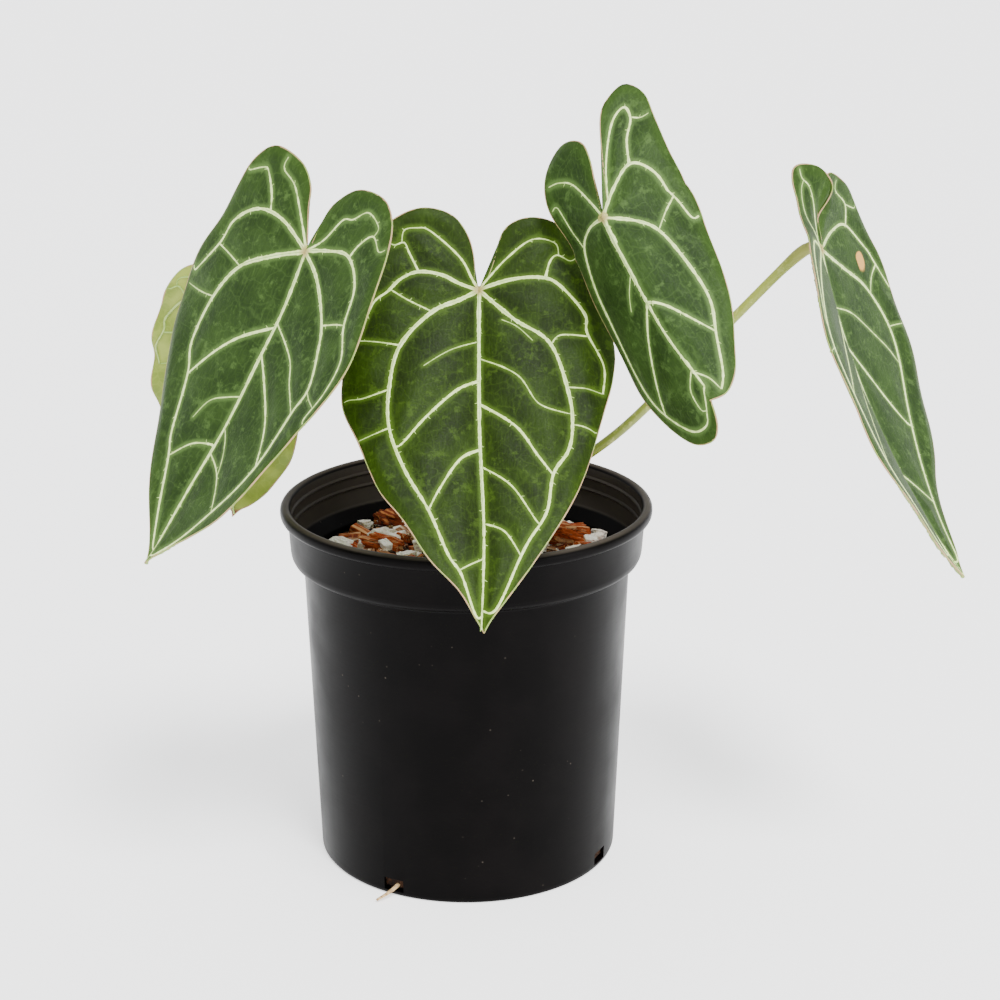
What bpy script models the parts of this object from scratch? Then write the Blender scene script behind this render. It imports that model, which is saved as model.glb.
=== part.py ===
"""Anthurium crystallinum in a round nursery pot, built in metres with +Z up and the viewer at -Y.

The pot stands on z = 0 with its axis on the Z axis. The pot is a revolved wall, the mix fills it,
the short stem stands in the mix, one petiole rises from the stem to each leaf, and every blade is
a heart-shaped sheet bent from a flat outline given in millimetres.
"""
import bpy
import bmesh
import math
import random
from mathutils import Matrix, Vector

MM = 0.001
OBJECT_NAME = "anthurium_crystallinum"

# Pot, millimetres. A standard 155 mm round nursery pot with a deep collar under a rolled lip.
RIM_RADIUS = 77.5
POT_HEIGHT = 154.0
COLLAR_RADIUS = 74.4
COLLAR_BOTTOM_Z = 131.0
BODY_TOP_RADIUS = 68.2
BASE_RADIUS = 63.6
WALL = 1.6
FLOOR_THICKNESS = 3.2
LEDGE_TOP_Z = 134.5
RIDGE_DEPTHS = (6.0, 11.5)
RIDGE_PROUD = 0.7
SLOT_ANGLES = (-118.0, -28.0, 62.0, 152.0)
SLOT_WIDTH = 9.0
SLOT_LOW_Z = 2.0
SLOT_HIGH_Z = 7.5

# Potting mix, millimetres.
MIX_TOP_Z = 126.5
MIX_GAP = 0.35
MIX_WAVE = 1.1
STEM_RADIUS = 9.0
STEM_FOOT_Z = 119.0
STEM_TOP_Z = 149.0
FIT_GAP = 0.4

# Leaf stalks, millimetres.
PETIOLE_RADIUS = 2.0
KNEE_RADIUS = 2.5
PETIOLE_RING = 5.4

# Blades, millimetres.
BLADE_THICKNESS = 0.9
LOBE_STATIONS = 10
BODY_STATIONS = 14
CELLS_ACROSS = 4

# One entry per leaf. `at` is where the stalk meets the blade. `aim` is the heading of the tip
# (0 towards the viewer, positive to the viewer's right), its elevation, and the roll about the
# midrib, degrees. `fold` and `curl` are for the left and right halves: the angle at the midrib
# and the further angle gained by the margin. `bend` is gained from the stalk to the tip, `lobe`
# over the two rear lobes, `twist` along the midrib. `lift` opens each rear lobe out of its fold.
# `lean` slants the gap between the rear lobes. The outlines run from the stalk round each rear
# lobe to the tip, x across from the midrib and y along it.
LEAVES = {
    "front": dict(
        at=(5.7, -25.0, 248.0), aim=(0.0, -56.0, -8.0), fold=(12.0, 20.0), curl=(-42.0, -42.0),
        bend=14.0, lobe=-18.0, twist=0.0, lift=(0.0, 0.0), lean=0.0, half=56.0, length=143.0,
        spine=143.0,
        left=[(-2, -3), (-2, -12), (-5, -22), (-12, -30), (-24, -32), (-36, -26), (-43, -16),
              (-48, -4), (-51, 12), (-53, 28), (-54, 47), (-47, 64), (-39, 84), (-30, 97),
              (-20, 114), (-9, 126), (-3, 137)],
        right=[(3, -3), (6, -12), (10, -25), (20, -30), (32, -27), (40, -15), (49, 3), (55, 21),
               (54, 34), (49, 50), (42, 73), (33, 93), (20, 114), (9, 130), (3, 138)]),
    "left": dict(
        at=(-59.0, -54.8, 269.2), aim=(-72.5, -66.7, -13.4), fold=(33.0, -13.0),
        curl=(-30.0, 16.0), bend=13.5, lobe=13.0, twist=17.0, lift=(0.0, 0.0), lean=0.0,
        half=57.0, length=134.0, spine=134.0,
        left=[(-1, -3), (-6, -15), (-9, -23), (-17, -29), (-31, -30), (-39, -22), (-43, -11),
              (-47, 3), (-54, 19), (-57, 34), (-56, 48), (-49, 62), (-42, 78), (-32, 94),
              (-20, 110), (-8, 123), (-3, 129)],
        right=[(2, -4), (2, -16), (5, -23), (13, -30), (27, -31), (37, -25), (44, -14), (50, 0),
               (55, 17), (58, 33), (56, 47), (49, 60), (43, 74), (40, 89), (33, 101),
               (20, 113), (8, 124), (3, 130)]),
    "right": dict(
        at=(52.9, -44.0, 280.0), aim=(40.0, -45.0, 37.0), fold=(-52.0, -5.0),
        curl=(-26.0, -15.0), bend=0.0, lobe=10.0, twist=0.0, lift=(30.0, 0.0), lean=0.35,
        half=42.0, length=118.0, spine=84.0,
        left=[(-1, -3), (-1, -12), (-1, -24), (-4, -34), (-13, -40), (-22, -36), (-27, -24),
              (-28, -10), (-28, 5), (-31, 20), (-35, 38), (-36, 55), (-34, 67), (-29, 80),
              (-20, 91), (-9, 96), (-3, 93)],
        right=[(3, -4), (4, -23), (6, -40), (11, -47), (18, -50), (25, -43), (28, -31),
               (32, -15), (36, 0), (36, 10), (34, 21), (31, 37), (26, 54), (20, 67), (14, 78),
               (7, 84)]),
    "far_right": dict(
        at=(141.3, -10.0, 261.3), aim=(31.0, -67.3, -49.0), fold=(-1.0, 19.0),
        curl=(-8.0, 10.0), bend=23.0, lobe=-27.0, twist=1.0, lift=(-42.0, 0.0), lean=0.3,
        half=60.0, length=142.0, spine=142.0,
        left=[(-1, -3), (2, -13), (9, -21), (10, -28), (3, -34), (-5, -35), (-12, -33),
              (-14, -27), (-16, -19), (-25, -10), (-38, -3), (-46, 9), (-52, 22), (-53, 38),
              (-51, 55), (-48, 72), (-42, 88), (-33, 102), (-20, 117), (-8, 131), (-3, 137)],
        right=[(2, -4), (3, -16), (6, -28), (13, -34), (24, -33), (33, -29), (42, -19),
               (48, -8), (54, 7), (58, 27), (58, 42), (54, 60), (48, 78), (38, 93), (28, 104),
               (18, 119), (9, 131), (3, 137)]),
    "back": dict(
        at=(-96.0, -14.0, 237.0), aim=(188.0, -83.0, 3.0), fold=(24.0, 24.0),
        curl=(-20.0, -10.0), bend=-6.0, lobe=10.0, twist=8.0, lift=(0.0, 0.0), lean=0.0,
        half=34.0, length=88.0, spine=88.0,
        left=[(-2, -3), (-2, -8), (-4, -15), (-10, -19), (-18, -18), (-25, -11), (-30, -2),
              (-33, 10), (-34, 21), (-33, 34), (-30, 48), (-27, 60), (-23, 70), (-16, 78),
              (-8, 83), (-3, 85)],
        right=[(2, -3), (2, -8), (4, -15), (10, -18), (18, -15), (24, -7), (28, 2), (31, 12),
               (32, 22), (33, 34), (31, 46), (25, 60), (16, 72), (8, 80), (3, 84)]),
}

# Way points of each stalk between the stem and its blade, millimetres, so that a stalk goes round
# the margin of a blade that hangs in front of it.
PETIOLE_WAY = {
    "front": [(2.0, 8.0, 190.0), (4.0, 2.0, 235.0)],
    "left": [(-30.0, -6.0, 196.0), (-56.0, -24.0, 240.0)],
    "right": [(24.0, 3.0, 178.0), (54.0, -1.0, 216.0), (66.0, -16.0, 254.0)],
    "far_right": [(28.0, 1.0, 160.0), (62.0, -2.0, 183.0), (100.0, -6.0, 224.0)],
    "back": [(-27.0, 2.0, 196.0), (-50.0, -6.0, 209.0), (-76.0, -19.0, 220.0)],
}
PETIOLE_START_ANGLE = {"front": 90.0, "left": 234.0, "right": 306.0, "far_right": 18.0,
                       "back": 162.0}

# Pieces lying on the mix: name, x, y, length, width, height, heading in degrees, tilt in degrees.
BARK = [
    ("bark_rust", -34.0, 44.0, 16.0, 10.0, 7.0, -30.0, 10.0),
    ("bark_tan", -13.0, 45.0, 18.0, 10.0, 6.0, 15.0, -9.0),
    ("bark_orange", -36.0, 12.0, 20.0, 11.0, 7.0, -12.0, 8.0),
    ("bark_pink", -20.0, 25.0, 14.0, 9.0, 5.0, 40.0, 0.0),
    ("bark_big", 40.0, 17.0, 27.0, 15.0, 9.0, 25.0, 14.0),
    ("bark_tan_right", 36.0, 40.0, 18.0, 10.0, 6.0, 130.0, 8.0),
    ("bark_dark", 46.0, -10.0, 14.0, 9.0, 6.0, -35.0, 6.0),
    ("bark_front", 2.0, -46.0, 20.0, 12.0, 6.0, 5.0, 6.0),
]
STONES = [
    ("pumice_white", -38.0, 27.0, 11.0, 9.0, 8.0, 20.0, 0.0),
    ("pumice_cream", -55.0, 7.0, 13.0, 10.0, 9.0, 60.0, 0.0),
    ("pumice_right", 29.0, -5.0, 12.0, 10.0, 8.0, -20.0, 0.0),
    ("pumice_front", -26.0, -40.0, 9.0, 8.0, 7.0, 10.0, 0.0),
    ("perlite_a", -38.0, -6.0, 8.0, 7.0, 6.0, 0.0, 0.0),
    ("perlite_b", -27.0, -3.0, 7.0, 6.0, 6.0, 35.0, 0.0),
    ("perlite_c", -18.0, -16.0, 7.0, 6.0, 5.0, 15.0, 0.0),
    ("pebble_grey", 24.0, -48.0, 11.0, 9.0, 7.0, 50.0, 0.0),
]

COLORS = {
    "black_plastic": ((0.012, 0.011, 0.012), 0.35),
    "mix_brown": ((0.055, 0.028, 0.014), 0.95),
    "bark_orange_brown": ((0.42, 0.14, 0.035), 0.9),
    "pumice_cream_white": ((0.72, 0.66, 0.54), 0.95),
    "stem_green_brown": ((0.13, 0.12, 0.04), 0.7),
    "petiole_olive": ((0.30, 0.33, 0.07), 0.5),
    "blade_deep_green": ((0.045, 0.14, 0.025), 0.5),
    "blade_back_yellow_green": ((0.34, 0.42, 0.13), 0.6),
    "root_straw": ((0.62, 0.48, 0.28), 0.85),
}


def clear_scene():
    """Take away every object already in the file."""
    for obj in list(bpy.data.objects):
        bpy.data.objects.remove(obj, do_unlink=True)


def material(name):
    """One Principled material per colour name, made once."""
    found = bpy.data.materials.get(name)
    if found:
        return found
    color, rough = COLORS[name]
    mat = bpy.data.materials.new(name)
    mat.use_nodes = True
    shader = mat.node_tree.nodes["Principled BSDF"]
    shader.inputs["Base Color"].default_value = (*color, 1.0)
    shader.inputs["Roughness"].default_value = rough
    mat.diffuse_color = (*color, 1.0)
    return mat


def place(obj, color, collection):
    """Put the object in the part's collection with its material."""
    collection.objects.link(obj)
    obj.data.materials.append(material(color))
    return obj


def mesh_object(name, points, faces):
    """An object from points in millimetres and their faces, facing outwards."""
    mesh = bpy.data.meshes.new(name)
    mesh.from_pydata([[c * MM for c in p] for p in points], [], faces)
    grid = bmesh.new()
    grid.from_mesh(mesh)
    bmesh.ops.remove_doubles(grid, verts=grid.verts, dist=1e-6)
    bmesh.ops.recalc_face_normals(grid, faces=grid.faces)
    grid.to_mesh(mesh)
    grid.free()
    return bpy.data.objects.new(name, mesh)


def revolved(name, profile, steps):
    """A closed profile of (radius, z) points turned once round the Z axis."""
    mesh = bpy.data.meshes.new(name)
    count = len(profile)
    edges = [(i, (i + 1) % count) for i in range(count)]
    mesh.from_pydata([(r * MM, 0.0, z * MM) for r, z in profile], edges, [])
    obj = bpy.data.objects.new(name, mesh)
    turn = obj.modifiers.new("turn", "SCREW")
    turn.axis = "Z"
    turn.angle = math.tau
    turn.steps = steps
    turn.render_steps = steps
    turn.use_merge_vertices = True
    turn.merge_threshold = 0.00001
    turn.use_normal_calculate = True
    return obj


def make_pot(collection, cutters):
    """The pot: lip, collar, tapered wall and flat floor in one profile, with four drain slots."""
    inner_top = COLLAR_RADIUS - WALL
    wall_in = BODY_TOP_RADIUS - WALL
    profile = [
        (0.0, FLOOR_THICKNESS),
        (0.0, 0.0),
        (BASE_RADIUS - 1.6, 0.0),
        (BASE_RADIUS - 0.3, 0.8),
        (BASE_RADIUS, 2.2),
        (BODY_TOP_RADIUS, COLLAR_BOTTOM_Z - 2.0),
        (BODY_TOP_RADIUS + 1.0, COLLAR_BOTTOM_Z - 1.0),
        (COLLAR_RADIUS - 2.4, COLLAR_BOTTOM_Z),
        (COLLAR_RADIUS - 0.9, COLLAR_BOTTOM_Z + 2.0),
        (COLLAR_RADIUS, POT_HEIGHT - 5.4),
        (RIM_RADIUS - 0.9, POT_HEIGHT - 4.8),
        (RIM_RADIUS, POT_HEIGHT - 3.6),
        (RIM_RADIUS, POT_HEIGHT - 1.8),
        (RIM_RADIUS - 0.8, POT_HEIGHT - 0.5),
        (RIM_RADIUS - 2.2, POT_HEIGHT),
        (RIM_RADIUS - 3.2, POT_HEIGHT - 0.2),
        (inner_top + 0.4, POT_HEIGHT - 1.6),
    ]
    for depth in RIDGE_DEPTHS:
        z = POT_HEIGHT - depth
        profile += [(inner_top, z + 0.9), (inner_top - RIDGE_PROUD, z), (inner_top, z - 0.9)]
    profile += [
        (inner_top - 0.5, LEDGE_TOP_Z),
        (wall_in, COLLAR_BOTTOM_Z - 2.0),
        (BASE_RADIUS - WALL, FLOOR_THICKNESS),
    ]
    pot = place(revolved("pot", profile, 72), "black_plastic", collection)
    for i, angle in enumerate(SLOT_ANGLES):
        bpy.ops.mesh.primitive_cube_add(size=1.0)
        cutter = bpy.context.object
        cutter.name = f"cut_slot_{i}"
        out = Matrix.Rotation(math.radians(angle), 4, "Z")
        at = Matrix.Translation(((BASE_RADIUS + 1.5) * MM, 0.0,
                                 (SLOT_LOW_Z + SLOT_HIGH_Z) / 2.0 * MM))
        size = Matrix.Diagonal((8.0 * MM, SLOT_WIDTH * MM, (SLOT_HIGH_Z - SLOT_LOW_Z) * MM, 1.0))
        cutter.matrix_world = out @ at @ size
        for owner in list(cutter.users_collection):
            owner.objects.unlink(cutter)
        cutters.objects.link(cutter)
        cutter.hide_render = True
        cutter.display_type = "WIRE"
        cut = pot.modifiers.new(f"slot_{i}", "BOOLEAN")
        cut.operation = "DIFFERENCE"
        cut.solver = "EXACT"
        cut.object = cutter
    return pot


def mix_height(x, y):
    """Height of the mix surface: gentle waves that die out at the wall."""
    wave = math.sin(x / 9.0 + 0.6) * math.cos(y / 8.0) + 0.6 * math.sin((x + y) / 6.5)
    fade = max(0.0, 1.0 - (math.hypot(x, y) / 64.0) ** 4)
    return MIX_TOP_Z + MIX_WAVE * wave * fade


def make_mix(collection, cutters):
    """The potting mix: a plug that follows the wall, with a wavy top and a seat for the stem."""
    floor_z = FLOOR_THICKNESS + MIX_GAP
    slope = (BODY_TOP_RADIUS - BASE_RADIUS) / (COLLAR_BOTTOM_Z - 4.0)
    low = BASE_RADIUS - WALL - MIX_GAP
    high = low + slope * (MIX_TOP_Z - FLOOR_THICKNESS)
    rings = [0.0, 4.0, 8.0, 12.0, 17.0, 22.0, 27.0, 32.0, 37.0, 42.0, 47.0, 52.0, 57.0, 62.0, high]
    steps = 60
    points = [(0.0, 0.0, floor_z), (0.0, 0.0, mix_height(0.0, 0.0))]
    faces = []
    circles = []
    for radius, level in [(low, floor_z)] + [(r, None) for r in reversed(rings[1:])]:
        start = len(points)
        circles.append(start)
        for k in range(steps):
            a = math.tau * k / steps
            x = radius * math.cos(a)
            y = radius * math.sin(a)
            points.append((x, y, level if level is not None else mix_height(x, y)))
    for one, two in zip(circles[:-1], circles[1:]):
        for k in range(steps):
            n = (k + 1) % steps
            faces.append((one + k, one + n, two + n, two + k))
    for k in range(steps):
        n = (k + 1) % steps
        faces.append((0, circles[0] + n, circles[0] + k))
        faces.append((1, circles[-1] + k, circles[-1] + n))
    mix = place(mesh_object("potting_mix", points, faces), "mix_brown", collection)
    bpy.ops.mesh.primitive_cylinder_add(vertices=32, radius=(STEM_RADIUS + FIT_GAP) * MM,
                                        depth=30.0 * MM)
    cutter = bpy.context.object
    cutter.name = "cut_stem_seat"
    cutter.location = (0.0, 0.0, (STEM_FOOT_Z - FIT_GAP + 15.0) * MM)
    for owner in list(cutter.users_collection):
        owner.objects.unlink(cutter)
    cutters.objects.link(cutter)
    cutter.hide_render = True
    cutter.display_type = "WIRE"
    cut = mix.modifiers.new("stem_seat", "BOOLEAN")
    cut.operation = "DIFFERENCE"
    cut.solver = "EXACT"
    cut.object = cutter
    return mix


def make_stem(collection):
    """The short ringed stem that carries the stalks."""
    ring = STEM_RADIUS
    profile = [
        (0.0, STEM_TOP_Z),
        (ring - 1.2, STEM_TOP_Z),
        (ring - 0.4, STEM_TOP_Z - 1.5),
        (ring - 0.4, STEM_TOP_Z - 7.0),
        (ring, STEM_TOP_Z - 8.0),
        (ring - 0.4, STEM_TOP_Z - 9.0),
        (ring - 0.4, STEM_TOP_Z - 15.0),
        (ring, STEM_TOP_Z - 16.0),
        (ring, STEM_FOOT_Z + 1.0),
        (ring - 1.0, STEM_FOOT_Z),
        (0.0, STEM_FOOT_Z),
    ]
    place(revolved("stem", list(reversed(profile)), 32), "stem_green_brown", collection)
    sheath = [
        (0.0, STEM_TOP_Z + 19.0),
        (0.7, STEM_TOP_Z + 15.0),
        (1.7, STEM_TOP_Z + 7.0),
        (2.0, STEM_TOP_Z + 2.0),
        (1.7, STEM_TOP_Z + FIT_GAP),
        (0.0, STEM_TOP_Z + FIT_GAP),
    ]
    place(revolved("new_leaf_sheath", list(reversed(sheath)), 16), "petiole_olive", collection)


def leaf_axes(aim):
    """Along the tip, across to the viewer's right, and off the upper face."""
    heading, rise, roll = (math.radians(a) for a in aim)
    along = Vector((math.sin(heading) * math.cos(rise), -math.cos(heading) * math.cos(rise),
                    math.sin(rise)))
    level = Vector((math.cos(heading), math.sin(heading), 0.0))
    across = math.cos(roll) * level + math.sin(roll) * along.cross(level)
    return along, across, along.cross(across)


def bent(leaf, x, y, off=0.0):
    """A point of the flat leaf, and a height off its upper face, carried onto the bent blade."""
    along, across, face = leaf_axes(leaf["aim"])
    side = 0 if x < 0.0 else 1
    sign = -1.0 if side == 0 else 1.0
    reach = abs(x)
    rear = min(1.0, max(0.0, -y / 35.0))
    start = math.radians(leaf["fold"][side] + leaf["lift"][side] * rear * rear * (3 - 2 * rear))
    rate = math.radians(leaf["curl"][side]) / leaf["half"]
    end = start + rate * reach
    lateral = (math.sin(end) - math.sin(start)) / rate - off * math.sin(end)
    raised = (math.cos(start) - math.cos(end)) / rate + off * math.cos(end)
    rate_y = math.radians(leaf["bend"]) / leaf["length"]
    if y < 0.0:
        rate_y = -math.radians(leaf["lobe"]) / leaf["half"]
    turn = rate_y * y
    run = math.sin(turn) / rate_y if rate_y else y
    drop = (1.0 - math.cos(turn)) / rate_y if rate_y else 0.0
    here_along = math.cos(turn) * along + math.sin(turn) * face
    here_face = math.cos(turn) * face - math.sin(turn) * along
    roll = math.radians(leaf["twist"]) * y / leaf["length"]
    here_across = math.cos(roll) * across + math.sin(roll) * here_face
    here_face = here_along.cross(here_across)
    lateral = sign * lateral + leaf["lean"] * max(-y, 0.0)
    root = Vector(leaf["at"]) + run * along + drop * face
    return root + lateral * here_across + raised * here_face


def smooth_line(points, pieces=6):
    """The points joined by a smooth line that passes through each of them."""
    line = []
    ends = [points[0]] + points + [points[-1]]
    for a, b, c, d in zip(ends[:-3], ends[1:-2], ends[2:-1], ends[3:]):
        for k in range(pieces):
            t = k / pieces
            line.append(tuple(
                0.5 * (2 * b[i] + (c[i] - a[i]) * t + (2 * a[i] - 5 * b[i] + 4 * c[i] - d[i])
                       * t * t + (3 * b[i] - a[i] - 3 * c[i] + d[i]) * t ** 3)
                for i in range(len(b))))
    line.append(tuple(points[-1]))
    return line


def spaced(line, count):
    """Points at equal steps of length along a line, both ends included."""
    runs = [0.0]
    for a, b in zip(line[:-1], line[1:]):
        runs.append(runs[-1] + math.dist(a, b))
    out = []
    k = 0
    for n in range(count):
        want = runs[-1] * n / (count - 1)
        while k < len(runs) - 2 and runs[k + 1] < want:
            k += 1
        t = (want - runs[k]) / max(runs[k + 1] - runs[k], 1e-9)
        out.append(tuple(a + (b - a) * t for a, b in zip(line[k], line[k + 1])))
    return out


def half_grid(outline, spine):
    """Rows from the midrib to the margin of one half, fanned round the stalk over the rear lobe."""
    line = smooth_line([(float(x), float(y)) for x, y in outline] + [(0.0, spine)])
    turn = next(i for i, p in enumerate(line) if i > len(line) // 5 and p[1] > 6.0)
    margin = spaced(line[:turn + 1], LOBE_STATIONS) + spaced(line[turn:], BODY_STATIONS + 1)[1:]
    rows = []
    for k, (mx, my) in enumerate(margin):
        along = max(0.0, (k - LOBE_STATIONS + 1) / BODY_STATIONS)
        root_y = spine * along
        row = []
        for c in range(CELLS_ACROSS + 1):
            t = c / CELLS_ACROSS
            row.append((mx * t, root_y + (my - root_y) * t))
        rows.append(row)
    return rows


def crease(leaf, y, off):
    """A point on the midrib, half way between where the two halves put it."""
    return (bent(leaf, -1e-7, y, off) + bent(leaf, 1e-7, y, off)) / 2.0


def make_blade(name, leaf, color, collection):
    """One blade: a sheet lofted from the midrib to the margins, with a face, a back and a rim."""
    flat = []
    seen = {}
    sheet = []
    for sign, key in ((-1, "left"), (1, "right")):
        rows = half_grid(leaf[key], leaf["spine"])
        last = len(rows) - 1
        made = []
        for r, row in enumerate(rows):
            line = []
            for c, (x, y) in enumerate(row):
                label = (sign, r, c)
                if r == last:
                    label = "tip"
                elif c == 0:
                    label = ("midrib", max(0, r - LOBE_STATIONS + 1))
                if label not in seen:
                    seen[label] = len(flat)
                    flat.append((x, y, c == 0 or r == last))
                line.append(seen[label])
            made.append(line)
        for one, two in zip(made[:-1], made[1:]):
            for c in range(CELLS_ACROSS):
                corners = [one[c], one[c + 1], two[c + 1], two[c]]
                face = [v for i, v in enumerate(corners) if v not in corners[:i]]
                sheet.append(face if sign > 0 else face[::-1])
    half = BLADE_THICKNESS / 2.0
    points = []
    for off in (half, -half):
        for x, y, middle in flat:
            points.append(crease(leaf, y, off) if middle else bent(leaf, x, y, off))
    count = len(flat)
    faces = [tuple(f) for f in sheet] + [tuple(v + count for v in reversed(f)) for f in sheet]
    used = {}
    for face in sheet:
        for u, v in zip(face, face[1:] + face[:1]):
            used[(u, v)] = True
    for u, v in used:
        if (v, u) not in used:
            faces.append((v, u, u + count, v + count))
    place(mesh_object(name, points, faces), color, collection)


def make_petiole(name, leaf, way, angle, collection):
    """One stalk from the top of the stem to just under the blade, thicker at its knee."""
    a = math.radians(angle)
    base = Vector((PETIOLE_RING * math.cos(a), PETIOLE_RING * math.sin(a),
                   STEM_TOP_Z + FIT_GAP))
    across, face = leaf_axes(leaf["aim"])[1:]
    slant = math.radians(leaf["fold"][0] - leaf["fold"][1]) / 2.0
    face = math.cos(slant) * face + math.sin(slant) * across
    roof = math.radians(max(0.0, -(leaf["fold"][0] + leaf["fold"][1]) / 2.0))
    stop = BLADE_THICKNESS / 2.0 + 0.55 + KNEE_RADIUS * math.tan(roof)
    end = Vector(leaf["at"]) - stop * face
    knee = end - 9.0 * face
    line = smooth_line([tuple(base), tuple(base + Vector((0, 0, 6)))]
                       + [tuple(w) for w in way] + [tuple(knee), tuple(end)])
    line = spaced(line, 22)
    line[-2] = tuple(end - 3.0 * face)
    line[0] = tuple(base)
    line[1] = tuple(base + Vector((0, 0, 5)))
    curve = bpy.data.curves.new(name, "CURVE")
    curve.dimensions = "3D"
    curve.bevel_depth = PETIOLE_RADIUS * MM
    curve.bevel_resolution = 2
    curve.use_fill_caps = True
    path = curve.splines.new("POLY")
    path.points.add(len(line) - 1)
    for i, (point, (x, y, z)) in enumerate(zip(path.points, line)):
        point.co = (x * MM, y * MM, z * MM, 1.0)
        left = len(line) - 1 - i
        point.radius = KNEE_RADIUS / PETIOLE_RADIUS if left < 3 else 1.0
    stalk = bpy.data.objects.new(name, curve)
    collection.objects.link(stalk)
    graph = bpy.context.evaluated_depsgraph_get()
    made = bpy.data.meshes.new_from_object(stalk.evaluated_get(graph))
    bpy.data.objects.remove(stalk)
    grid = bmesh.new()
    grid.from_mesh(made)
    bmesh.ops.remove_doubles(grid, verts=grid.verts, dist=1e-6)
    bmesh.ops.recalc_face_normals(grid, faces=grid.faces)
    grid.to_mesh(made)
    grid.free()
    return place(bpy.data.objects.new(name, made), "petiole_olive", collection)


def lie_on_mix(points, x, y, gap):
    """Move a loose piece to (x, y) and lower it until its lowest point is the gap off the mix."""
    placed = [Vector((p.x + x, p.y + y, p.z)) for p in points]
    lift = max(mix_height(p.x, p.y) - p.z for p in placed) + gap
    return [p + Vector((0.0, 0.0, lift)) for p in placed]


def make_loose(name, x, y, size, heading, tilt, woody, color, seed, collection):
    """A bark chip (a chipped block) or a stone (a chipped ball) lying on the mix."""
    shape = bmesh.new()
    if woody:
        bmesh.ops.create_cube(shape, size=1.0)
        bmesh.ops.subdivide_edges(shape, edges=shape.edges[:], cuts=1, use_grid_fill=True)
    else:
        bmesh.ops.create_icosphere(shape, subdivisions=1, radius=0.5)
    dice = random.Random(seed)
    for vert in shape.verts:
        corner = sum(1 for c in vert.co if abs(c) > 0.4) if woody else 0
        pull = 0.84 if corner == 3 else 1.0
        wobble = [1.0 + dice.uniform(-0.09, 0.09) for _ in range(3)]
        vert.co = Vector([c * pull * w * s for c, w, s in zip(vert.co, wobble, size)])
    turn = Matrix.Rotation(math.radians(heading), 3, "Z") @ Matrix.Rotation(
        math.radians(tilt), 3, "Y")
    points = lie_on_mix([turn @ v.co for v in shape.verts], x, y, FIT_GAP)
    shape.verts.index_update()
    faces = [[v.index for v in f.verts] for f in shape.faces]
    shape.free()
    place(mesh_object(name, points, faces), color, collection)


def make_root_tip(collection):
    """A dry root end that pokes out of a drain slot."""
    out = Matrix.Rotation(math.radians(SLOT_ANGLES[0]), 3, "Z")
    line = [(62.2, 1.0, 4.2), (66.0, 0.4, 3.4), (69.5, -1.0, 2.4), (72.5, -3.0, 1.4)]
    curve = bpy.data.curves.new("root_tip", "CURVE")
    curve.dimensions = "3D"
    curve.bevel_depth = 0.9 * MM
    curve.bevel_resolution = 2
    curve.use_fill_caps = True
    path = curve.splines.new("POLY")
    path.points.add(len(line) - 1)
    for point, at in zip(path.points, line):
        point.co = (*(out @ Vector(at) * MM), 1.0)
    straw = bpy.data.objects.new("root_tip", curve)
    collection.objects.link(straw)
    graph = bpy.context.evaluated_depsgraph_get()
    made = bpy.data.meshes.new_from_object(straw.evaluated_get(graph))
    bpy.data.objects.remove(straw)
    grid = bmesh.new()
    grid.from_mesh(made)
    bmesh.ops.remove_doubles(grid, verts=grid.verts, dist=1e-6)
    grid.to_mesh(made)
    grid.free()
    place(bpy.data.objects.new("root_tip", made), "root_straw", collection)


clear_scene()
part = bpy.data.collections.new(OBJECT_NAME)
cutter_set = bpy.data.collections.new("cutters")
bpy.context.scene.collection.children.link(part)
bpy.context.scene.collection.children.link(cutter_set)
make_pot(part, cutter_set)
make_mix(part, cutter_set)
make_stem(part)
for leaf_name, leaf in LEAVES.items():
    leaf_color = "blade_back_yellow_green" if leaf_name == "back" else "blade_deep_green"
    make_blade(f"blade_{leaf_name}", leaf, leaf_color, part)
    make_petiole(f"petiole_{leaf_name}", leaf, PETIOLE_WAY[leaf_name],
                 PETIOLE_START_ANGLE[leaf_name], part)
for number, (loose, px, py, sx, sy, sz, turned, tilted) in enumerate(BARK):
    make_loose(loose, px, py, (sx, sy, sz), turned, tilted, True, "bark_orange_brown",
               number, part)
for number, (loose, px, py, sx, sy, sz, turned, tilted) in enumerate(STONES):
    make_loose(loose, px, py, (sx, sy, sz), turned, tilted, False, "pumice_cream_white",
               40 + number, part)
make_root_tip(part)
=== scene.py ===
# %% [markdown]
# # A crystal-veined anthurium in its nursery pot
# The plant and its pot are built piece by piece, in millimetres, on the CAD frame that comes in
# first. Each leaf is drawn flat, the way a pressed leaf lies on paper, and one function then bends
# it into place. Veins, margin and blade all go through that same function, so they stay together.

# %% Tools and sizes
import bpy
import math
import random
import numpy as np
from mathutils import Matrix, Vector, noise


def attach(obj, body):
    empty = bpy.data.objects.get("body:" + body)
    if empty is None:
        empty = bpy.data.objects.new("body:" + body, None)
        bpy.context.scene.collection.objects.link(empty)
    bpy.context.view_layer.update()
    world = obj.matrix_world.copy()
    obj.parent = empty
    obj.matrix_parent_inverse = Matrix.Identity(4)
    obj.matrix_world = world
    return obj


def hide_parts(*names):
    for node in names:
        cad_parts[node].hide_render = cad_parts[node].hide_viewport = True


MM = 0.001
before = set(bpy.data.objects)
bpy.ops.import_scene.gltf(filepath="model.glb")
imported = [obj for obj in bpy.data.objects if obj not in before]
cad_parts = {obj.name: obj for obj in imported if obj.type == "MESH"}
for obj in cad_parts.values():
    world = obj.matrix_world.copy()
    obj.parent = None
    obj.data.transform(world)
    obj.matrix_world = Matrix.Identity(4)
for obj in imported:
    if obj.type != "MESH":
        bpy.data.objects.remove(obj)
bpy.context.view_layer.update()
print("frame nodes:", len(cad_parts))

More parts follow.
